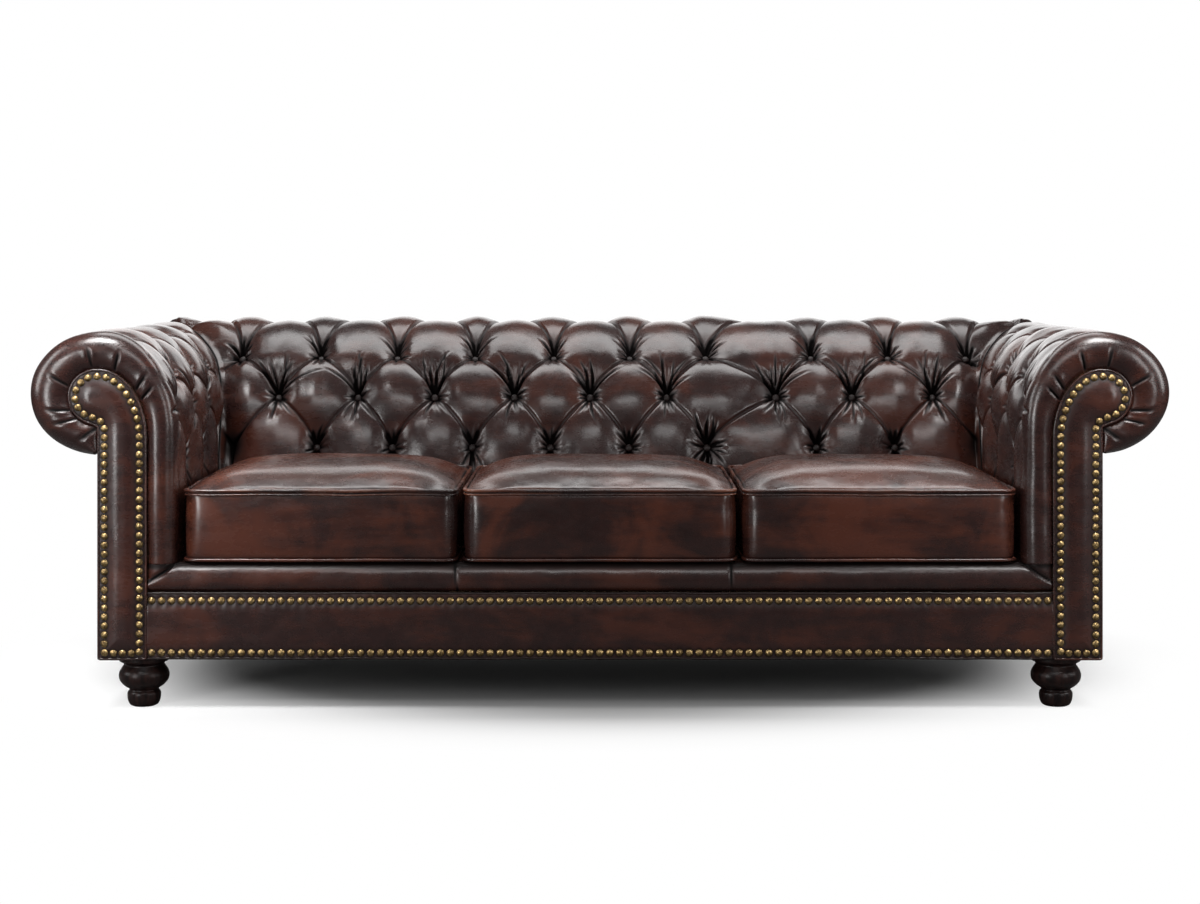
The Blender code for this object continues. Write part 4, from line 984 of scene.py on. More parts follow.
def build_pads():
    """The tufted leather of the arms and the back, and all their buttons."""
    spots = []
    for side, word, seed in ((-1, "left", 21), (1, "right", 34)):
        pad, found = arm_pad(side, f"{word}_arm_leather", seed)
        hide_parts(f"{word}_arm_pad")
        spots += found
    pad, found = back_pad("back_leather", 55)
    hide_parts("back_pad")
    buttons = studs("buttons", BUTTON_TREE, spots + found, BUTTON_RADIUS, BUTTON_HEIGHT, 0.12)
    # the buttons get painted shade, the shade of the dimples they sit in
    set_attribute(buttons, "crease", np.full(len(buttons.data.vertices), BUTTON_SHADE))


# Pieces that repeat or follow a path
def geometry_tree(name, sizes):
    """A geometry tree with a Geometry input, a named input for each size, and its two end nodes."""
    tree = bpy.data.node_groups.new(name, "GeometryNodeTree")
    tree.interface.new_socket("Geometry", in_out="INPUT", socket_type="NodeSocketGeometry")
    for size in sizes:
        tree.interface.new_socket(size, in_out="INPUT", socket_type="NodeSocketFloat")
    tree.interface.new_socket("Geometry", in_out="OUTPUT", socket_type="NodeSocketGeometry")
    return tree, tree.nodes.new("NodeGroupInput").outputs, tree.nodes.new("NodeGroupOutput")


def finish_tree(tree, made, material, output):
    """Realizes the instances, shades smooth, sets the material and ends the tree."""
    real = add_node(tree, "GeometryNodeRealizeInstances", {0: made}).outputs[0]
    smooth = add_node(tree, "GeometryNodeSetShadeSmooth", {0: real}).outputs[0]
    painted = add_node(tree, "GeometryNodeSetMaterial", {0: smooth, "Material": material})
    feed(tree, output, {0: painted.outputs[0]})
    return tree


def stud_tree(material, segments, rings):
    """Domes on points, each turned to its point's "outward" direction."""
    tree, entry, output = geometry_tree("studs", ("Radius", "Height", "Unevenness"))
    ball = {"Segments": segments, "Rings": rings, "Radius": entry["Radius"]}
    ball = add_node(tree, "GeometryNodeMeshUVSphere", ball).outputs["Mesh"]
    flatness = {"X": 1.0, "Y": 1.0, "Z": combine(tree, "DIVIDE", entry["Height"], entry["Radius"])}
    flatness = add_node(tree, "ShaderNodeCombineXYZ", flatness).outputs[0]
    dome = add_node(tree, "GeometryNodeTransform", {"Geometry": ball, "Scale": flatness}).outputs[0]
    outward = add_node(tree, "GeometryNodeInputNamedAttribute", {"Name": "outward"}, data_type="FLOAT_VECTOR")
    lean = {"Min": (-1.0, -1.0, -1.0), "Max": (1.0, 1.0, 1.0), "Seed": 5}
    lean = add_node(tree, "FunctionNodeRandomValue", lean, data_type="FLOAT_VECTOR").outputs[0]
    lean = add_node(tree, "ShaderNodeVectorMath", {0: lean, "Scale": entry["Unevenness"]}, operation="SCALE")
    aimed = add_node(tree, "ShaderNodeVectorMath", {0: outward.outputs["Attribute"], 1: lean.outputs[0]})
    turned = add_node(tree, "FunctionNodeAlignRotationToVector", {"Vector": aimed.outputs[0]}, axis="Z")
    placed = {"Points": entry["Geometry"], "Instance": dome, "Rotation": turned.outputs[0]}
    placed = add_node(tree, "GeometryNodeInstanceOnPoints", placed)
    return finish_tree(tree, placed.outputs[0], material, output)


def tube_tree(material, sides):
    """A closed round tube along every edge path of the mesh it is given."""
    tree, entry, output = geometry_tree("tubes", ("Radius",))
    path = add_node(tree, "GeometryNodeMeshToCurve", {"Mesh": entry["Geometry"]}).outputs[0]
    ring = {"Resolution": sides, "Radius": entry["Radius"]}
    ring = add_node(tree, "GeometryNodeCurvePrimitiveCircle", ring).outputs["Curve"]
    swept = {"Curve": path, "Profile Curve": ring, "Fill Caps": True}
    swept = add_node(tree, "GeometryNodeCurveToMesh", swept).outputs[0]
    return finish_tree(tree, swept, material, output)


def grow(name, carrier_mesh, tree, sizes, body):
    """The plain mesh that a geometry tree makes of its carrier mesh, as a piece."""
    carrier = link(bpy.data.objects.new(f"{name}_carrier", carrier_mesh))
    modifier = carrier.modifiers.new("growth", "NODES")
    modifier.node_group = tree
    for item in tree.interface.items_tree:
        if item.in_out == "INPUT" and item.name in sizes:
            modifier[item.identifier] = sizes[item.name]
    mesh = evaluated_mesh(carrier)
    bpy.data.objects.remove(carrier)
    mesh.name = name
    piece = link(bpy.data.objects.new(name, mesh))
    turn_outwards(piece)
    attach(piece, body)
    return piece


def studs(name, tree, spots, radius, height, unevenness):
    """Domes at spots, each (place, outward direction)."""
    mesh = bpy.data.meshes.new(f"{name}_spots")
    mesh.from_pydata([tuple(place) for place, _ in spots], [], [])
    layer = mesh.attributes.new("outward", "FLOAT_VECTOR", "POINT")
    layer.data.foreach_set("vector", np.array([tuple(way) for _, way in spots]).ravel())
    sizes = {"Radius": radius, "Height": height, "Unevenness": unevenness}
    return grow(name, mesh, tree, sizes, "frame")


def tubes(name, tree, paths, radius, closed=False, body="frame"):
    """Tubes along paths, each an array of points."""
    points, edges = [], []
    for path in paths:
        start = len(points)
        points += [tuple(p) for p in path]
        edges += [(i, i + 1) for i in range(start, len(points) - 1)]
        if closed:
            edges.append((len(points) - 1, start))
    mesh = bpy.data.meshes.new(f"{name}_path")
    mesh.from_pydata(points, edges, [])
    return grow(name, mesh, tree, {"Radius": radius}, body)


NAIL_TREE = stud_tree(BRASS, 12, 6)
BUTTON_TREE = stud_tree(LEATHER, 24, 12)
PIPING_TREE = tube_tree(LEATHER, 10)
CUSHION_PIPING_TREE = tube_tree(CUSHION_LEATHER, 10)


# Facings
FACING_EDGE_Y = FACING_LOW[1] + 0.0060
FACING_RIM = 0.0022        # how far the leather stands out just inside the edge
FACING_CROWN = 0.0100      # and in its padded middle
FACING_GRID = 0.0036
NAIL_INSET = 0.0130
NAIL_PITCH = 0.0177
NAIL_RADIUS = 0.0079
NAIL_HEIGHT = 0.0056
NAIL_UNEVENNESS = 0.10
NAIL_STAND = 0.0016        # of a nail's middle in front of the leather
NAIL_DIP = (0.0013, 0.0065)  # how deep and how wide the facing's leather dips round a nail
NAIL_SHADE = (0.85, 0.0100)  # darkness and width of the shade round it
PIPING_RADIUS = 0.0026
FORWARD = Vector((0, -1, 0))


def resampled(path, step, closed=True):
    path = np.asarray(path)
    loop = np.concatenate([path, path[:1]]) if closed else path
    length = np.concatenate([[0.0], np.cumsum(np.hypot(*np.diff(loop, axis=0).T))])
    count = max(2, round(length[-1] / step))
    spots = np.linspace(0, length[-1], count + 1)
    if closed:
        spots = spots[:-1]
    return together(np.interp(spots, length, loop[:, 0]), np.interp(spots, length, loop[:, 1]))


def facing_outline():
    """The scroll-shaped front of an arm, in (d, z)."""
    curl = ellipse_arc(CURL_CENTRE, (CURL_RADIUS, CURL_RADIUS), -78, 84, 60)
    bend_height = CURL_CENTRE[1] + CURL_RADIUS - FACING_BEND_Z
    inner = ellipse_arc((0.0, FACING_BEND_Z), (FACING_WIDTH, bend_height), 88, 180, 60)
    return np.concatenate([[(0.0, FOOT_TOP), (0.0, NECK_Z)], curl, inner, [(-FACING_WIDTH, FOOT_TOP)]])


def edge_distance(points, outline):
    """Distance of each point to the nearest stretch of a closed outline."""
    a, b = outline, np.roll(outline, -1, axis=0)
    along = b - a
    off = points[:, None, :] - a[None]
    t = np.clip((off * along).sum(2) / np.maximum((along ** 2).sum(1), 1e-12), 0, 1)
    return np.hypot(*np.moveaxis(off - t[..., None] * along, 2, 0)).min(axis=1)


def edge_inside(points, outline):
    """1 for each point inside a closed outline."""
    a, b = outline, np.roll(outline, -1, axis=0)
    x, y = points[:, :1], points[:, 1:]
    crosses = (a[:, 1] > y) != (b[:, 1] > y)
    rise = np.where(np.abs(b[:, 1] - a[:, 1]) < 1e-12, 1e-12, b[:, 1] - a[:, 1])
    reached = x < (b[:, 0] - a[:, 0]) * (y - a[:, 1]) / rise + a[:, 0]
    return (crosses & reached).sum(axis=1) % 2


def inset_path(outline, depth):
    """The outline moved inwards, without the loops that tight corners would leave."""
    fine = resampled(outline, 0.0015)
    along = np.roll(fine, -1, axis=0) - np.roll(fine, 1, axis=0)
    inward = together(-along[:, 1], along[:, 0])
    inward /= np.hypot(*inward.T)[:, None]
    if edge_inside(fine[:1] + inward[:1] * 0.002, outline)[0] == 0:
        inward = -inward
    moved = fine + inward * depth
    return moved[edge_distance(moved, fine) > depth * 0.97]


def facing_height(points, outline, nails):
    """How far the facing's leather stands out from its edge, how dark it is there, and its painted shade
    round the nails.
    """
    away = edge_distance(points, outline)
    height = FACING_RIM * ease(away, 0.0, 0.0045)
    height += (FACING_CROWN - FACING_RIM) * swell(away, NAIL_INSET, 0.030)
    closest = np.hypot(*np.moveaxis(points[:, None, :] - nails[None], 2, 0)).min(axis=1)
    height -= NAIL_DIP[0] * bell(closest, NAIL_DIP[1])
    ripple = np.cos(np.pi * np.clip(closest / (NAIL_PITCH / 2), 0, 1.6))
    height -= 0.0006 * ripple * bell(away - NAIL_INSET, 0.008)
    height += 0.0007 * smooth_noise(points, 0.055, 8)
    # painted shade round each nail, and a darker line along the edge
    dark = 0.75 * bell(away, 0.0030) + NAIL_SHADE[0] * bell(closest, NAIL_SHADE[1])
    return height, np.clip(dark, 0, 1)


def facing(side, name):
    """The padded leather of one facing, and (place, outward direction) of each of its nails."""
    outline = facing_outline()
    rim = resampled(outline, 0.003)
    nails = resampled(inset_path(outline, NAIL_INSET), NAIL_PITCH)
    low, high = rim.min(axis=0), rim.max(axis=0)
    d, z = np.meshgrid(*(np.arange(low[i], high[i], FACING_GRID) for i in (0, 1)))
    grid = flat_points(d, z)
    grid = grid[(edge_inside(grid, rim) == 1) & (edge_distance(grid, rim) > 0.6 * FACING_GRID)]
    edges = [(i, (i + 1) % len(rim)) for i in range(len(rim))]
    made = geometry.delaunay_2d_cdt([Vector(p) for p in (*rim, *grid)], edges, [], 1, 1e-6)
    flat = np.array([tuple(p) for p in made[0]])
    height, dark = facing_height(flat, rim, nails)
    front = together(side * (ROLL_X + flat[:, 0]), FACING_EDGE_Y - height, flat[:, 1])
    rear = together(front[:, 0], FACING_HIGH[1], front[:, 2])
    count = len(flat)
    faces = [tuple(face) for face in made[2]]
    used = dict.fromkeys(edge for face in faces for edge in zip(face, face[1:] + face[:1]))
    walls = [(b, a, a + count, b + count) for a, b in used if (b, a) not in used]
    faces += walls + [tuple(v + count for v in reversed(face)) for face in made[2]]
    piece = make_piece(name, np.concatenate([front, rear]), faces, LEATHER)
    set_attribute(piece, "crease", np.concatenate([dark, dark * 0]))
    turn_outwards(piece)
    heads, _ = facing_height(nails, rim, nails)
    spots = [(Vector((side * (ROLL_X + d), FACING_EDGE_Y - h - NAIL_STAND, z)), FORWARD)
             for (d, z), h in zip(nails, heads)]
    return piece, spots


def build_facings():
    for side, word in ((-1, "left"), (1, "right")):
        piece, spots = facing(side, f"{word}_facing_leather")
        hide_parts(f"{word}_facing")
        nails = studs(f"{word}_facing_nails", NAIL_TREE, spots, NAIL_RADIUS, NAIL_HEIGHT, NAIL_UNEVENNESS)
        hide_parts(f"{word}_facing_nail_band")
        path = resampled(inset_path(facing_outline(), 0.0006), 0.004)
        route = together(side * (ROLL_X + path[:, 0]), FACING_EDGE_Y + 0.0002, path[:, 1])
        piping = tubes(f"{word}_facing_piping", PIPING_TREE, [route], PIPING_RADIUS, closed=True)


# Border, apron and outside panels
BORDER_GRID = 0.0045
BORDER_SEAMS = (-0.2837, 0.2597)
BORDER_REACH = 0.0300      # how far the padded lip stands out from its axis
BORDER_AXIS_Y = BORDER_LOW[1] + 0.0290
BORDER_AXIS_Z = 0.2520
BORDER_TOP_SHADE = 0.60
SEAM_GROOVE = (0.0028, 0.0030, 0.0022)   # depth and width of the border's seams, width of their line
MITRE_GROOVE = (0.0034, 0.0040, 0.0026)  # and of its mitres
MITRE_LOW = (BORDER_HIGH[0], 0.2500)
MITRE_HIGH = (ARM_LOW[0], BORDER_HIGH[2])
APRON_TOP = BORDER_LOW[2] - 0.0002
APRON_EDGE_Y = APRON_LOW[1] + 0.0010
APRON_GRID = (0.0038, 0.0032)
APRON_RIM = 0.0016
APRON_CROWN = 0.0042
APRON_NAIL_ROWS = (FOOT_TOP + 0.0125, APRON_HIGH[2] - 0.0120)
APRON_NAIL_PITCH = 0.0196
APRON_NAIL_START = APRON_LOW[0] + 0.0100
APRON_NAIL_DIP = (0.0016, 0.0075)
APRON_PIPING_SHADE = 0.45
PANEL_GRID = 0.012
PANEL_CROWN = 0.0030


def closed_sheet(name, front, rear, dark):
    """A closed piece of leather between two grids of points of the same shape."""
    columns, rows = front.shape[:2]
    count = columns * rows
    faces = grid_faces(columns, rows)
    faces += [tuple(v + count for v in reversed(face)) for face in faces]
    index = np.arange(count).reshape(columns, rows)
    rim = [*index[:, 0], *index[-1, 1:], *index[-2::-1, -1], *index[0, -2:0:-1]]
    faces += [(b, a, a + count, b + count) for a, b in zip(rim, rim[1:] + rim[:1])]
    points = np.concatenate([front.reshape(-1, 3), rear.reshape(-1, 3)])
    piece = make_piece(name, points, [tuple(int(v) for v in face) for face in faces], LEATHER)
    set_attribute(piece, "crease", np.concatenate([np.ravel(dark), np.zeros(count)]))
    turn_outwards(piece)
    return piece


def steps_between(low, high, step):
    return np.linspace(low, high, round((high - low) / step) + 1)


def soft_noise(a, b, *layers):
    """Noise over two grids, as a sum of layers, each (height, size, seed)."""
    spots = flat_points(a, b)
    return sum(height * smooth_noise(spots, size, seed) for height, size, seed in layers).reshape(np.shape(a))


def segment_distance(x, z, start, end):
    a, b = np.array(start), np.array(end)
    t = np.clip(((x - a[0]) * (b - a)[0] + (z - a[1]) * (b - a)[1]) / ((b - a) ** 2).sum(), 0, 1)
    return np.hypot(x - a[0] - t * (b - a)[0], z - a[1] - t * (b - a)[1])


def build_border():
    angles = np.radians(np.linspace(-88, 90, 34))
    xs = steps_between(BORDER_LOW[0], BORDER_HIGH[0], BORDER_GRID)
    x, angle = np.meshgrid(xs, angles, indexing="ij")
    rise = np.where(angle > 0, BORDER_HIGH[2] - BORDER_AXIS_Z, BORDER_AXIS_Z - BORDER_LOW[2])
    z = BORDER_AXIS_Z + rise * np.sign(np.sin(angle)) * np.abs(np.sin(angle)) ** 0.86
    out = BORDER_REACH * np.cos(angle) ** 0.72
    out += soft_noise(x, angle * BORDER_REACH, (0.0011, 0.11, 3), (0.0006, 0.03, 4))
    dark = np.zeros_like(x)
    grooves = [(np.abs(x - seam + 0.002 * np.sin(angle)), *SEAM_GROOVE) for seam in BORDER_SEAMS]
    grooves.append((segment_distance(np.abs(x), z, MITRE_LOW, MITRE_HIGH), *MITRE_GROOVE))
    for near, depth, width, line in grooves:
        out -= depth * bell(near, width)
        dark = np.maximum(dark, bell(near, line))
    # painted shade on the underside, where the lip curls under
    dark = np.maximum(dark, ease(-angle, 0.9, 1.5))
    dark = np.maximum(dark, BORDER_TOP_SHADE * ease(angle, 0.45, 1.05))
    across = (BORDER_HIGH[0] - np.abs(x)) / (MITRE_LOW[0] - MITRE_HIGH[0])
    mitre_z = MITRE_LOW[1] + across * (MITRE_HIGH[1] - MITRE_LOW[1])
    ring = ring_columns()
    ring_y = np.interp(across, [q for q, _ in ring], [y for _, y in ring])
    above = ease(z - mitre_z, 0.001, 0.006) * (across < 1.0)
    out = out * (1 - above) + (BORDER_AXIS_Y - ring_y) * above
    front = together(x, BORDER_AXIS_Y - out, z)
    piece = closed_sheet("border_leather", front, together(x, BORDER_HIGH[1], z), dark)
    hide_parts("front_border")


def apron_nails():
    """The places, in (x, z), of the nails of each row."""
    count = round((APRON_HIGH[0] - APRON_LOW[0] - 0.020) / APRON_NAIL_PITCH)
    xs = [APRON_NAIL_START + APRON_NAIL_PITCH * i for i in range(count + 1)]
    return [[(x, row) for x in xs if x < APRON_HIGH[0] - 0.006] for row in APRON_NAIL_ROWS]


def apron_height(x, z):
    """(stand-out, darkness) of the apron's leather."""
    away = np.minimum(z - APRON_LOW[2], APRON_TOP - z)
    height = APRON_RIM * ease(away, 0.0, 0.004)
    height = height + APRON_CROWN * swell(away, 0.0135, 0.028) ** 0.8
    height = height + soft_noise(x, z, (0.0011, 0.085, 12), (0.0005, 0.03, 13))
    dark = 0.7 * bell(away, 0.003)
    for row in apron_nails():
        first, level = row[0]
        beside = (x - first + APRON_NAIL_PITCH / 2) % APRON_NAIL_PITCH - APRON_NAIL_PITCH / 2
        closest = np.hypot(beside, z - level)
        height = height - APRON_NAIL_DIP[0] * bell(closest, APRON_NAIL_DIP[1])
        ripple = np.cos(2 * np.pi * beside / APRON_NAIL_PITCH + np.pi)
        height = height + 0.0005 * ripple * bell(z - level, 0.012)
        dark = np.maximum(dark, NAIL_SHADE[0] * bell(closest, NAIL_SHADE[1]))
    return height, dark


def build_apron():
    xs = steps_between(APRON_LOW[0], APRON_HIGH[0], APRON_GRID[0])
    zs = steps_between(APRON_LOW[2], APRON_TOP, APRON_GRID[1])
    x, z = np.meshgrid(xs, zs, indexing="ij")
    height, dark = apron_height(x, z)
    front = together(x, APRON_EDGE_Y - height, z)
    piece = closed_sheet("apron_leather", front, together(x, APRON_HIGH[1], z), dark)
    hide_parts("front_apron")
    for name, row in zip(("lower", "upper"), apron_nails()):
        stand, _ = apron_height(*np.array(row).T)
        spots = [(Vector((px, APRON_EDGE_Y - NAIL_STAND - h, pz)), FORWARD)
                 for (px, pz), h in zip(row, stand)]
        nails = studs(f"{name}_apron_nails", NAIL_TREE, spots, NAIL_RADIUS, NAIL_HEIGHT, NAIL_UNEVENNESS)
        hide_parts(f"{name}_nail_band")
    wave = soft_noise(xs, xs * 0, (0.0006, 0.07, 15))
    routes = [together(xs, APRON_LOW[1] + 0.0006, level + wave)
              for level in (APRON_LOW[2] + 0.0012, APRON_TOP - 0.0008)]
    piping = tubes("apron_piping", PIPING_TREE, routes, PIPING_RADIUS * 0.9)
    # painted shade darkens both pipings and dulls their highlight
    set_attribute(piping, "crease", np.full(len(piping.data.vertices), APRON_PIPING_SHADE))


def taut_panel(name, node, across, up, place, rear_place):
    """A lightly padded outside panel: across and up are its two ranges, place makes a point of them."""
    a, z = np.meshgrid(steps_between(*across, PANEL_GRID), steps_between(*up, PANEL_GRID), indexing="ij")
    away = np.minimum(np.minimum(a - across[0], across[1] - a), np.minimum(z - up[0], up[1] - z))
    stand = PANEL_CROWN * swell(away, 0.0, 0.045) ** 0.7
    stand = stand + soft_noise(a, z, (0.0009, 0.16, 17)) * ease(away, 0, 0.03)
    piece = closed_sheet(name, place(a, z, stand), rear_place(a, z), 0.6 * bell(away, 0.006))
    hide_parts(node)
    inset = PIPING_RADIUS * 0.6
    corners = [(across[0] + inset, up[1] - inset), (across[0] + inset, up[0] + inset),
               (across[1] - inset, up[0] + inset), (across[1] - inset, up[1] - inset)]
    path = resampled(corners, 0.02, closed=False)
    route = place(path[:, 0], path[:, 1], 0.0002)
    tubes(f"{name}_piping", PIPING_TREE, [route], PIPING_RADIUS)


def build_outside():
    for side, word in ((-1, "left"), (1, "right")):
        low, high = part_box(f"outside_{word}_arm")
        outer = max(abs(low[0]), abs(high[0])) + 0.0008
        inner = min(abs(low[0]), abs(high[0]))
        taut_panel(f"outside_{word}_arm_leather", f"outside_{word}_arm",
                   (FACING_EDGE_Y + 0.0040, high[1]), (low[2], high[2]),
                   lambda a, z, s: together(side * (outer + s), a, z),
                   lambda a, z: together(side * np.where(a > BOARD_REAR_Y, inner, outer - 0.0006), a, z))
    low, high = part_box("outside_back")
    taut_panel("outside_back_leather", "outside_back", (low[0], high[0]), (low[2], high[2]),
               lambda a, z, s: together(a, high[1] + s, z),
               lambda a, z: together(a, low[1], z))


# Feet
FOOT_RINGS = 5
FOOT_SIDES = 56
FOOT_SHARP_ANGLE = 50
FOOT_PROFILE = (
    (0.0490, FOOT_TOP), (0.0490, FOOT_TOP - 0.0095), (0.0430, FOOT_TOP - 0.0135),
    (0.0398, FOOT_TOP - 0.0175), (0.0425, FOOT_TOP - 0.0225), (0.0478, 0.0690), (0.0496, 0.0600),
    (0.0472, 0.0500), (0.0395, 0.0410), (0.0300, 0.0345), (0.0288, 0.0315), (0.0322, 0.0270),
    (0.0330, 0.0200), (0.0316, 0.0105), (0.0280, 0.0030), (0.0232, 0.0000),
)


def rounded_profile(points, rings):
    """A smooth profile through the points, with the turned steps kept crisp."""
    p = np.array(points)
    p = np.concatenate([[2 * p[0] - p[1]], p, [2 * p[-1] - p[-2]]])
    curve = []
    for a, b, c, d in zip(p, p[1:], p[2:], p[3:]):
        for t in np.arange(rings) / rings:
            curve.append(0.5 * (2 * b + (c - a) * t + (2 * a - 5 * b + 4 * c - d) * t ** 2
                                + (3 * b - a - 3 * c + d) * t ** 3))
    return np.array([*curve, points[-1]])


def build_feet():
    profile = rounded_profile(FOOT_PROFILE, FOOT_RINGS)
    profile[:FOOT_RINGS, 0] = FOOT_PROFILE[0][0]
    profile[:, 1] = np.clip(profile[:, 1], 0.0, FOOT_TOP)
    turn = np.linspace(0, 2 * np.pi, FOOT_SIDES, endpoint=False)
    rings = len(profile)
    starts = [i * rings for i in range(FOOT_SIDES)]
    faces = [(a + j, b + j, b + j + 1, a + j + 1)
             for a, b in zip(starts, starts[1:] + starts[:1]) for j in range(rings - 1)]
    faces += [starts, [start + rings - 1 for start in starts]]
    for name in ("front_left", "front_right", "rear_left", "rear_right"):
        low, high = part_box(f"{name}_foot")
        x, y = (low[0] + high[0]) / 2, (low[1] + high[1]) / 2
        points = [(x + r * math.cos(a), y + r * math.sin(a), z) for a in turn for r, z in profile]
        foot = make_piece(f"{name}_turned_foot", points, faces, MAHOGANY)
        turn_outwards(foot)
        foot.data.set_sharp_from_angle(angle=math.radians(FOOT_SHARP_ANGLE))
        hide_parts(f"{name}_foot")


# Seat cushions
CUSHION_EDGE_Z = PAD_BOTTOM + 0.1432
CUSHION_CORNER = 0.0260
CUSHION_VOXEL = 0.0070
CUSHION_SLACK = 0.0030     # the blank is this much smaller all round before it is blown up
CROWN_SLACK = 0.0060       # and its crown this much lower
SEAM_HOLD = 0.0055         # vertices this close to a seam are held while it is blown up
WELT_DROP = 0.0078
TOP_SWELL = 0.0130         # furthest that the top may rise, and the sides may bulge
SIDE_SWELL = 0.0060
SEAM_WAVE = 0.0017
SEAM_INSET = 0.0015        # of the seams from the solid's sides
SEAM_DRAW = 0.0030         # how far the leather is drawn in at its seams
SEAM_SHADE = 0.85
SIM_FRAMES = 20
CALMING = 24               # rounds of averaging after the simulation
CUSHION_TRIM = (
    # name, seam, drop below it, radius, how far it stands out; the welt is the fold under the piping
    ("top_piping", 0, 0.0, 0.0033, 0.0008),
    ("top_welt", 0, WELT_DROP, 0.0017, 0.0016),
    ("bottom_piping", 1, 0.0, 0.0033, 0.0008),
)


def rounded_rectangle(centre, half, radius):
    corners = []
    for quarter, (sx, sy) in enumerate(((1, 1), (-1, 1), (-1, -1), (1, -1))):
        middle = (centre[0] + sx * (half[0] - radius), centre[1] + sy * (half[1] - radius))
        corners.append(ellipse_arc(middle, (radius, radius), 90 * quarter, 90 * quarter + 90, 9))
    return np.concatenate(corners)


def cushion_space(word):
    """(centre, half size, bottom, crown height) of a cushion's solid in plan and height."""
    low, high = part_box(f"{word}_cushion_cover")
    centre = ((low[0] + high[0]) / 2, (low[1] + high[1]) / 2)
    half = ((high[0] - low[0]) / 2, (high[1] - low[1]) / 2)
    return centre, half, low[2] + 0.0012, high[2] - CUSHION_EDGE_Z


def settle(piece):
    """Gives the piece the mesh that its modifiers make of it."""
    mesh = evaluated_mesh(piece)
    piece.modifiers.clear()
    piece.data = mesh


def cushion_blank(word):
    """A closed, evenly meshed cushion shape with a crowned top and its seams marked for pinning."""
    centre, half, bottom, crown = cushion_space(word)
    outline = rounded_rectangle(centre, (half[0] - CUSHION_SLACK, half[1] - CUSHION_SLACK), CUSHION_CORNER)
    count = len(outline)
    points = [(x, y, z) for z in (bottom, CUSHION_EDGE_Z - 0.001) for x, y in outline]
    faces = [(i, (i + 1) % count, (i + 1) % count + count, i + count) for i in range(count)]
    faces += [tuple(range(count))[::-1], tuple(range(count, 2 * count))]
    piece = make_piece(f"{word}_cushion_leather", points, faces, CUSHION_LEATHER, f"{word}_cushion")
    remesh = piece.modifiers.new("even mesh", "REMESH")
    remesh.mode = "VOXEL"
    remesh.voxel_size = CUSHION_VOXEL
    settle(piece)
    place = vertex_places(piece)
    u, v = (np.clip(np.abs(place[:, i] - centre[i]) / half[i], 0, 1) for i in (0, 1))
    dome = ((1 - u ** 3.8) * (1 - v ** 3.4)) ** 0.85
    share = ease((place[:, 2] - bottom) / (CUSHION_EDGE_Z - bottom), 0.5, 1.0)
    seam = edge_distance(place[:, :2], outline)
    level = np.minimum(np.abs(place[:, 2] - CUSHION_EDGE_Z), np.abs(place[:, 2] - bottom))
    held = piece.vertex_groups.new(name="seams")
    held.add(np.nonzero((seam < SEAM_HOLD) & (level < SEAM_HOLD))[0].tolist(), 1.0, "REPLACE")
    place[:, 2] += (crown - CROWN_SLACK) * dome * share
    move_vertices(piece, place)
    return piece


def calmed(piece, change):
    """The change averaged over neighbouring vertices, which irons out the small puckers."""
    ends = np.empty(len(piece.data.edges) * 2, dtype=np.int32)
    piece.data.edges.foreach_get("vertices", ends)
    a, b = ends[::2], ends[1::2]
    count = np.bincount(ends, minlength=len(change))[:, None]
    for _ in range(CALMING):
        total = np.zeros_like(change)
        np.add.at(total, a, change[b])
        np.add.at(total, b, change[a])
        change = (change + total / count) / 2
    return change


def blow_up(pieces):
    """Cloth simulation of the cushions under their own pressure, seams held, and its result kept."""
    for piece in pieces:
        settings = piece.modifiers.new("stuffing", "CLOTH").settings
        settings.quality = 4
        settings.mass = 0.25
        settings.tension_stiffness = 12.0
        settings.compression_stiffness = 12.0
        settings.shear_stiffness = 6.0
        settings.bending_stiffness = 0.6
        settings.use_pressure = True
        settings.uniform_pressure_force = 4.0
        settings.shrink_min = -0.025
        settings.vertex_group_mass = "seams"
        settings.pin_stiffness = 1.0
        settings.effector_weights.gravity = 0.0
    scene = bpy.context.scene
    for moment in range(1, SIM_FRAMES + 1):
        scene.frame_set(moment)
    limit = np.array([SIDE_SWELL, SIDE_SWELL, TOP_SWELL])
    for piece in pieces:
        swollen = evaluated_mesh(piece)
        moved = np.empty(len(swollen.vertices) * 3)
        swollen.vertices.foreach_get("co", moved)
        bpy.data.meshes.remove(swollen)
        piece.modifiers.clear()
        start = vertex_places(piece)
        change = calmed(piece, moved.reshape(-1, 3) - start)
        move_vertices(piece, start + limit * np.tanh(change / limit))
    scene.frame_set(1)


def seam_wave(x, y, level, seed):
    spots = flat_points(x, y)
    small = 0.35 * smooth_noise(spots, 0.045, seed + level + 7)
    return SEAM_WAVE * (smooth_noise(spots, 0.13, seed + level) + small)


def cushion_seams(word):
    """(centre, half size, bottom, outline of the seams) of a finished cushion."""
    centre, half, bottom, _ = cushion_space(word)
    outline = rounded_rectangle(centre, (half[0] - SEAM_INSET, half[1] - SEAM_INSET), CUSHION_CORNER)
    return centre, half, bottom, outline


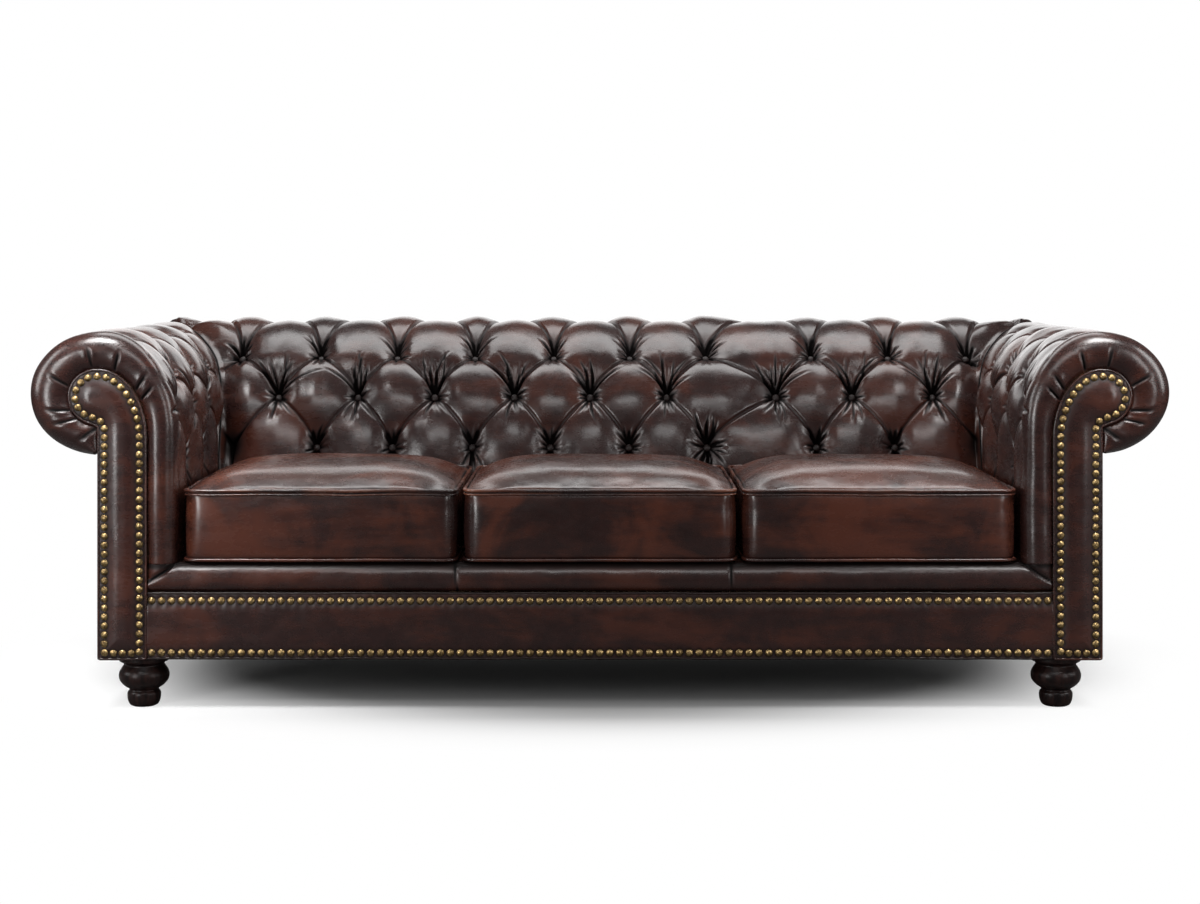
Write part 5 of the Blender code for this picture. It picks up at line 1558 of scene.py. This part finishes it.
def dress_cushion(piece, word, seed):
    """Finer mesh, seams drawn in, soft rumples, rubbed leather, and a painted warm sheen on the open top."""
    centre, _, bottom, outline = cushion_seams(word)
    smoother = piece.modifiers.new("finer", "SUBSURF")
    smoother.levels = smoother.render_levels = 1
    settle(piece)
    piece.vertex_groups.clear()
    place = vertex_places(piece)
    seam = edge_distance(place[:, :2], outline)
    top = np.hypot(seam, place[:, 2] - CUSHION_EDGE_Z)
    near = np.minimum(top, np.hypot(seam, place[:, 2] - bottom - 0.004))
    inward = np.array(centre) - place[:, :2]
    inward /= np.maximum(np.linalg.norm(inward, axis=1, keepdims=True), 1e-9)
    place[:, :2] += inward * (SEAM_DRAW * bell(near, 0.007))[:, None]
    place[:, 2] += seam_wave(place[:, 0], place[:, 1], 0, seed) * bell(top, 0.022)
    rumple = smooth_noise(place, 0.14, seed + 3) * 0.0016
    rumple += smooth_noise(place, 0.045, seed + 4) * 0.0006
    open_top = ease(seam, 0.01, 0.06) * (place[:, 2] > CUSHION_EDGE_Z)
    place[:, 2] += rumple * 1.4 * open_top
    gathers = smooth_noise(place * np.array([1, 0.35, 1]), 0.012, seed + 9)
    on_top = place[:, 2] > CUSHION_EDGE_Z + 0.004
    place[:, 2] += 0.0005 * gathers * on_top * bell(seam - 0.016, 0.016)
    on_side = ease(CUSHION_EDGE_Z - place[:, 2], 0.015, 0.04) * ease(place[:, 2] - bottom, 0.01, 0.04)
    place[:, 1] += rumple * on_side * (seam < 0.03)
    place[:, 2] = np.maximum(place[:, 2], bottom + 0.0003)
    move_vertices(piece, place)
    piece.data.shade_smooth()
    set_attribute(piece, "crease", SEAM_SHADE * bell(near, 0.0060))
    rub = np.clip(smooth_noise(place, 0.05, seed + 5) + 0.1, 0, 1)
    # a paler tan on the open top is a painted warm sheen; the rub by the top seam is wear
    top_sheen_tint = 0.14 * open_top * (0.6 + 0.4 * smooth_noise(place, 0.12, seed + 8))
    set_attribute(piece, "wear_and_top_sheen", np.maximum(0.55 * rub * bell(top, 0.010), top_sheen_tint))
    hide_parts(f"{word}_cushion_cover")


def trim_cushion(word, seed):
    """The piping along a cushion's seams and the thin welt under the top one."""
    centre, half, bottom, outline = cushion_seams(word)
    rim = resampled(outline, 0.005)
    for label, level, drop, radius, out in CUSHION_TRIM:
        wave = seam_wave(rim[:, 0], rim[:, 1], level, seed)
        height = CUSHION_EDGE_Z - drop + wave if level == 0 else bottom + 0.0050 + 0.6 * np.abs(wave)
        away = rim - np.array(centre)
        away = away / np.linalg.norm(away, axis=1, keepdims=True) * out
        route = together(*(rim + away).T, height)
        tube = tubes(f"{word}_cushion_{label}", CUSHION_PIPING_TREE, [route], radius, True, f"{word}_cushion")
        spots = vertex_places(tube)
        rub = ease(smooth_noise(spots, 0.07, seed + 6), 0.1, 0.7) * (0.35 if level == 0 else 0.15)
        corner = np.hypot(np.abs(spots[:, 0] - centre[0]) - half[0], spots[:, 1] - centre[1] + half[1])
        rub = np.maximum(rub, 0.8 * bell(corner, 0.05) * (word == "centre") * (level == 0))
        set_attribute(tube, "wear_and_top_sheen", rub)


def build_cushions():
    words = ("left", "centre", "right")
    pieces = [cushion_blank(word) for word in words]
    blow_up(pieces)
    for piece, word, seed in zip(pieces, words, (60, 71, 82)):
        dress_cushion(piece, word, seed)
        trim_cushion(word, seed)


bpy.context.scene.view_settings.view_transform = "Standard"
add_camera()
add_lights()
add_world()
add_floor()
paint_frame()
build_pads()
build_facings()
build_border()
build_apron()
build_outside()
build_feet()
build_cushions()
